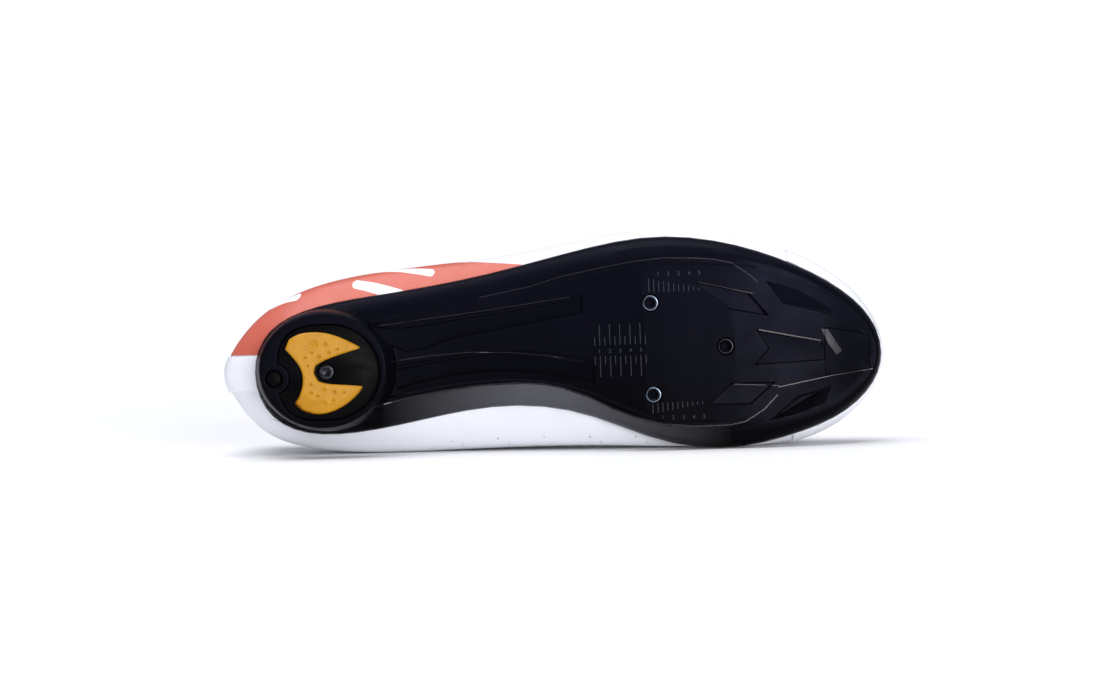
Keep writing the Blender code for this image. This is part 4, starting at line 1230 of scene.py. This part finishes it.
class SHOE_OT_gusset(bpy.types.Operator):
    """Gusset: a thin web of microfibre that closes the throat in front of the tongue."""

    bl_idname = "shoe.gusset"
    bl_label = "Throat gusset"

    def execute(self, context):
        skin = MADE["skin"]
        front = max((STOOD @ vertex.co).x for vertex in NODES["tongue"].data.vertices)
        rows = []
        along = front - WEB_OVERLAP
        closed_rows = 0
        while closed_rows < 3:
            sides = []
            for side in (-1, 1):
                degrees = rim_degrees(skin, along, side) + WEB_TUCK
                place, _ = skin_point(skin, along, side * degrees)
                reach = math.hypot(place.y, place.z - CORE_HEIGHT)
                sides.append((side * degrees, reach - WEB_DEPTH))
            closed_rows += rim_degrees(skin, along, 1) == 0
            rows.append((along, sides))
            along += 0.003
        piece = begun("throat_gusset", bpy.ops.mesh.primitive_grid_add, x_subdivisions=len(rows) - 1,
                      y_subdivisions=8, size=1)
        for vertex in piece.data.vertices:
            row = round((vertex.co.x + 0.5) * (len(rows) - 1))
            along, ((turn, reach), (other_turn, other_reach)) = rows[row]
            share = vertex.co.y + 0.5
            angle = math.radians(turn + (other_turn - turn) * share)
            out = reach + (other_reach - reach) * share
            vertex.co = Vector((along, math.sin(angle) * out, CORE_HEIGHT + math.cos(angle) * out))
        applied(piece, "SOLIDIFY", thickness=0.0008, offset=-1)
        applied(piece, "SUBSURF", levels=1, render_levels=1)
        open_with(piece)
        bpy.ops.mesh.normals_make_consistent(inside=False)
        close()
        laid(piece, ["microfibre"], degrees=50)
        return {"FINISHED"}


# The seam along the rim: where it starts, its steps along the shoe and their number, and how many degrees it
# lies below the rim
RIM_START = -0.004
RIM_STEP = 0.0038
RIM_STEPS = 56
RIM_INSET = 4.5

# How far behind the toe cap its seam runs
CAP_INSET = 0.0016


class SHOE_OT_seams(bpy.types.Operator):
    """Seams: stitches along the throat and collar, and behind the toe cap."""

    bl_idname = "shoe.seams"
    bl_label = "Seams"

    def execute(self, context):
        skin = MADE["skin"]
        lines = []
        for side in (-1, 1):
            line = []
            for step in range(RIM_STEPS):
                along = RIM_START + RIM_STEP * step
                degrees = rim_degrees(skin, along, side)
                if degrees is None:
                    continue
                lower = skin_point(skin, along, side * (degrees + RIM_INSET))
                if lower:
                    line.append(lower)
            lines.append(line)
        sewn("rim_stitches", lines)
        cap = []
        for degrees in range(-100, 101, 4):
            found = skin_point(skin, MADE["cap_start"] - CAP_INSET, degrees)
            if found:
                cap.append(found)
        sewn("cap_stitches", [cap])
        return {"FINISHED"}


# The point that the camera looks at
AIM = (-0.00107, 0, 0.04423)


def softbox(name, strength, width, turns, colour=(1, 1, 1)):
    """A wide light from far away. Its width and its turns are in degrees."""
    light = bpy.data.objects.new(name, bpy.data.lights.new(name, "SUN"))
    light.data.energy = strength
    light.data.angle = math.radians(width)
    light.data.color = colour
    light.rotation_euler = [math.radians(turn) for turn in turns]
    bpy.context.scene.collection.objects.link(light)


class SHOE_OT_stage(bpy.types.Operator):
    """Stage: camera, soft light and a plain paper floor."""

    bl_idname = "shoe.stage"
    bl_label = "Stage"

    def execute(self, context):
        scene = context.scene
        stage = scene.shoe_stage
        scene.view_settings.view_transform = "Standard"
        turn, rise = stage.azimuth, stage.elevation
        back = Vector((math.sin(turn) * math.cos(rise), -math.cos(turn) * math.cos(rise), math.sin(rise)))
        right = (-back).cross(Vector((0, 0, 1))).normalized()
        up = right.cross(-back)
        rolled = (right * math.cos(stage.roll) + up * math.sin(stage.roll),
                  up * math.cos(stage.roll) - right * math.sin(stage.roll))
        camera = bpy.data.objects.new("camera", bpy.data.cameras.new("camera"))
        scene.collection.objects.link(camera)
        camera.matrix_world = (Matrix.Translation(Vector(AIM) + back * stage.distance)
                               @ Matrix((*rolled, back)).transposed().to_4x4())
        camera.data.sensor_width = 36
        camera.data.lens = stage.lens
        camera.data.clip_start = 0.05
        camera.data.clip_end = 60
        scene.camera = camera

        softbox("overhead_softbox", stage.softbox, 55, (4, -8, 0), (0.95, 0.96, 1.0))
        softbox("front_softbox", stage.front, 25, (82, 0, 20))

        world = bpy.data.worlds.new("studio")
        world.use_nodes = True
        world.node_tree.nodes.clear()
        tree = world.node_tree
        seen = node(tree, "Background", {"Color": (1, 1, 1, 1), "Strength": 1.0})
        lit = node(tree, "Background", {"Color": (0.93, 0.95, 1.0, 1), "Strength": stage.ambient})
        path = node(tree, "LightPath")
        inputs = {0: path.outputs["Is Camera Ray"], 1: lit.outputs[0], 2: seen.outputs[0]}
        both = node(tree, "MixShader", inputs)
        node(tree, "OutputWorld", {"Surface": both.outputs[0]})
        scene.world = world

        floor = begun("paper_floor", bpy.ops.mesh.primitive_circle_add, vertices=96, radius=12,
                      fill_type="NGON")
        material, tree = blank("studio_paper")
        place = node(tree, "TexCoord").outputs["Object"]
        inputs = {0: cloudy(tree, place, 0.4, 0.0, 1.0), 6: shade(stage.floor, 0.985), 7: stage.floor}
        tone = node(tree, "Mix", inputs, data_type="RGBA").outputs[2]
        fibres = node(tree, "TexNoise", {"Vector": place, "Scale": 1 / 0.0008, "Detail": 2.0}).outputs[0]
        closed(tree, tone, 0.75, [(fibres, 0.00002)], Specular_IOR_Level=0.1)
        floor.data.materials.append(material)
        return {"FINISHED"}


class SHOE_PT_panel(bpy.types.Panel):
    """Lists the steps of the shoe and their settings."""

    bl_label = "Cycling shoe"
    bl_space_type = "VIEW_3D"
    bl_region_type = "UI"
    bl_category = "Shoe"

    def draw(self, context):
        column = self.layout.column()
        for step in STEPS:
            column.operator(step.bl_idname)
        for group in (context.scene.shoe_sizes, context.scene.shoe_finish, context.scene.shoe_stage):
            for name in group.__annotations__:
                column.prop(group, name)


GROUPS = {"shoe_sizes": ShoeSizes, "shoe_finish": ShoeFinish, "shoe_stage": ShoeStage}
STEPS = (
    SHOE_OT_stage, SHOE_OT_sole, SHOE_OT_marks, SHOE_OT_ridges, SHOE_OT_heel, SHOE_OT_inserts, SHOE_OT_upper,
    SHOE_OT_collar, SHOE_OT_tongue, SHOE_OT_gusset, SHOE_OT_footbed, SHOE_OT_straps, SHOE_OT_seams)


def register():
    """Registers the settings, the steps and the panel."""
    for name, group in GROUPS.items():
        bpy.utils.register_class(group)
        setattr(bpy.types.Scene, name, bpy.props.PointerProperty(type=group))
    for step in (*STEPS, SHOE_PT_panel):
        bpy.utils.register_class(step)


def unregister():
    """Takes the settings, the steps and the panel away."""
    for step in (*STEPS, SHOE_PT_panel):
        bpy.utils.unregister_class(step)
    for name, group in GROUPS.items():
        delattr(bpy.types.Scene, name)
        bpy.utils.unregister_class(group)


def main():
    """Builds the shoe and its stage."""
    register()
    bpy.ops.shoe.stage()
    bpy.ops.shoe.sole()
    bpy.ops.shoe.marks()
    bpy.ops.shoe.ridges()
    bpy.ops.shoe.heel()
    bpy.ops.shoe.inserts()
    bpy.ops.shoe.upper()
    bpy.ops.shoe.collar()
    bpy.ops.shoe.tongue()
    bpy.ops.shoe.gusset()
    bpy.ops.shoe.footbed()
    bpy.ops.shoe.straps()
    bpy.ops.shoe.seams()


if __name__ == "__main__":
    main()
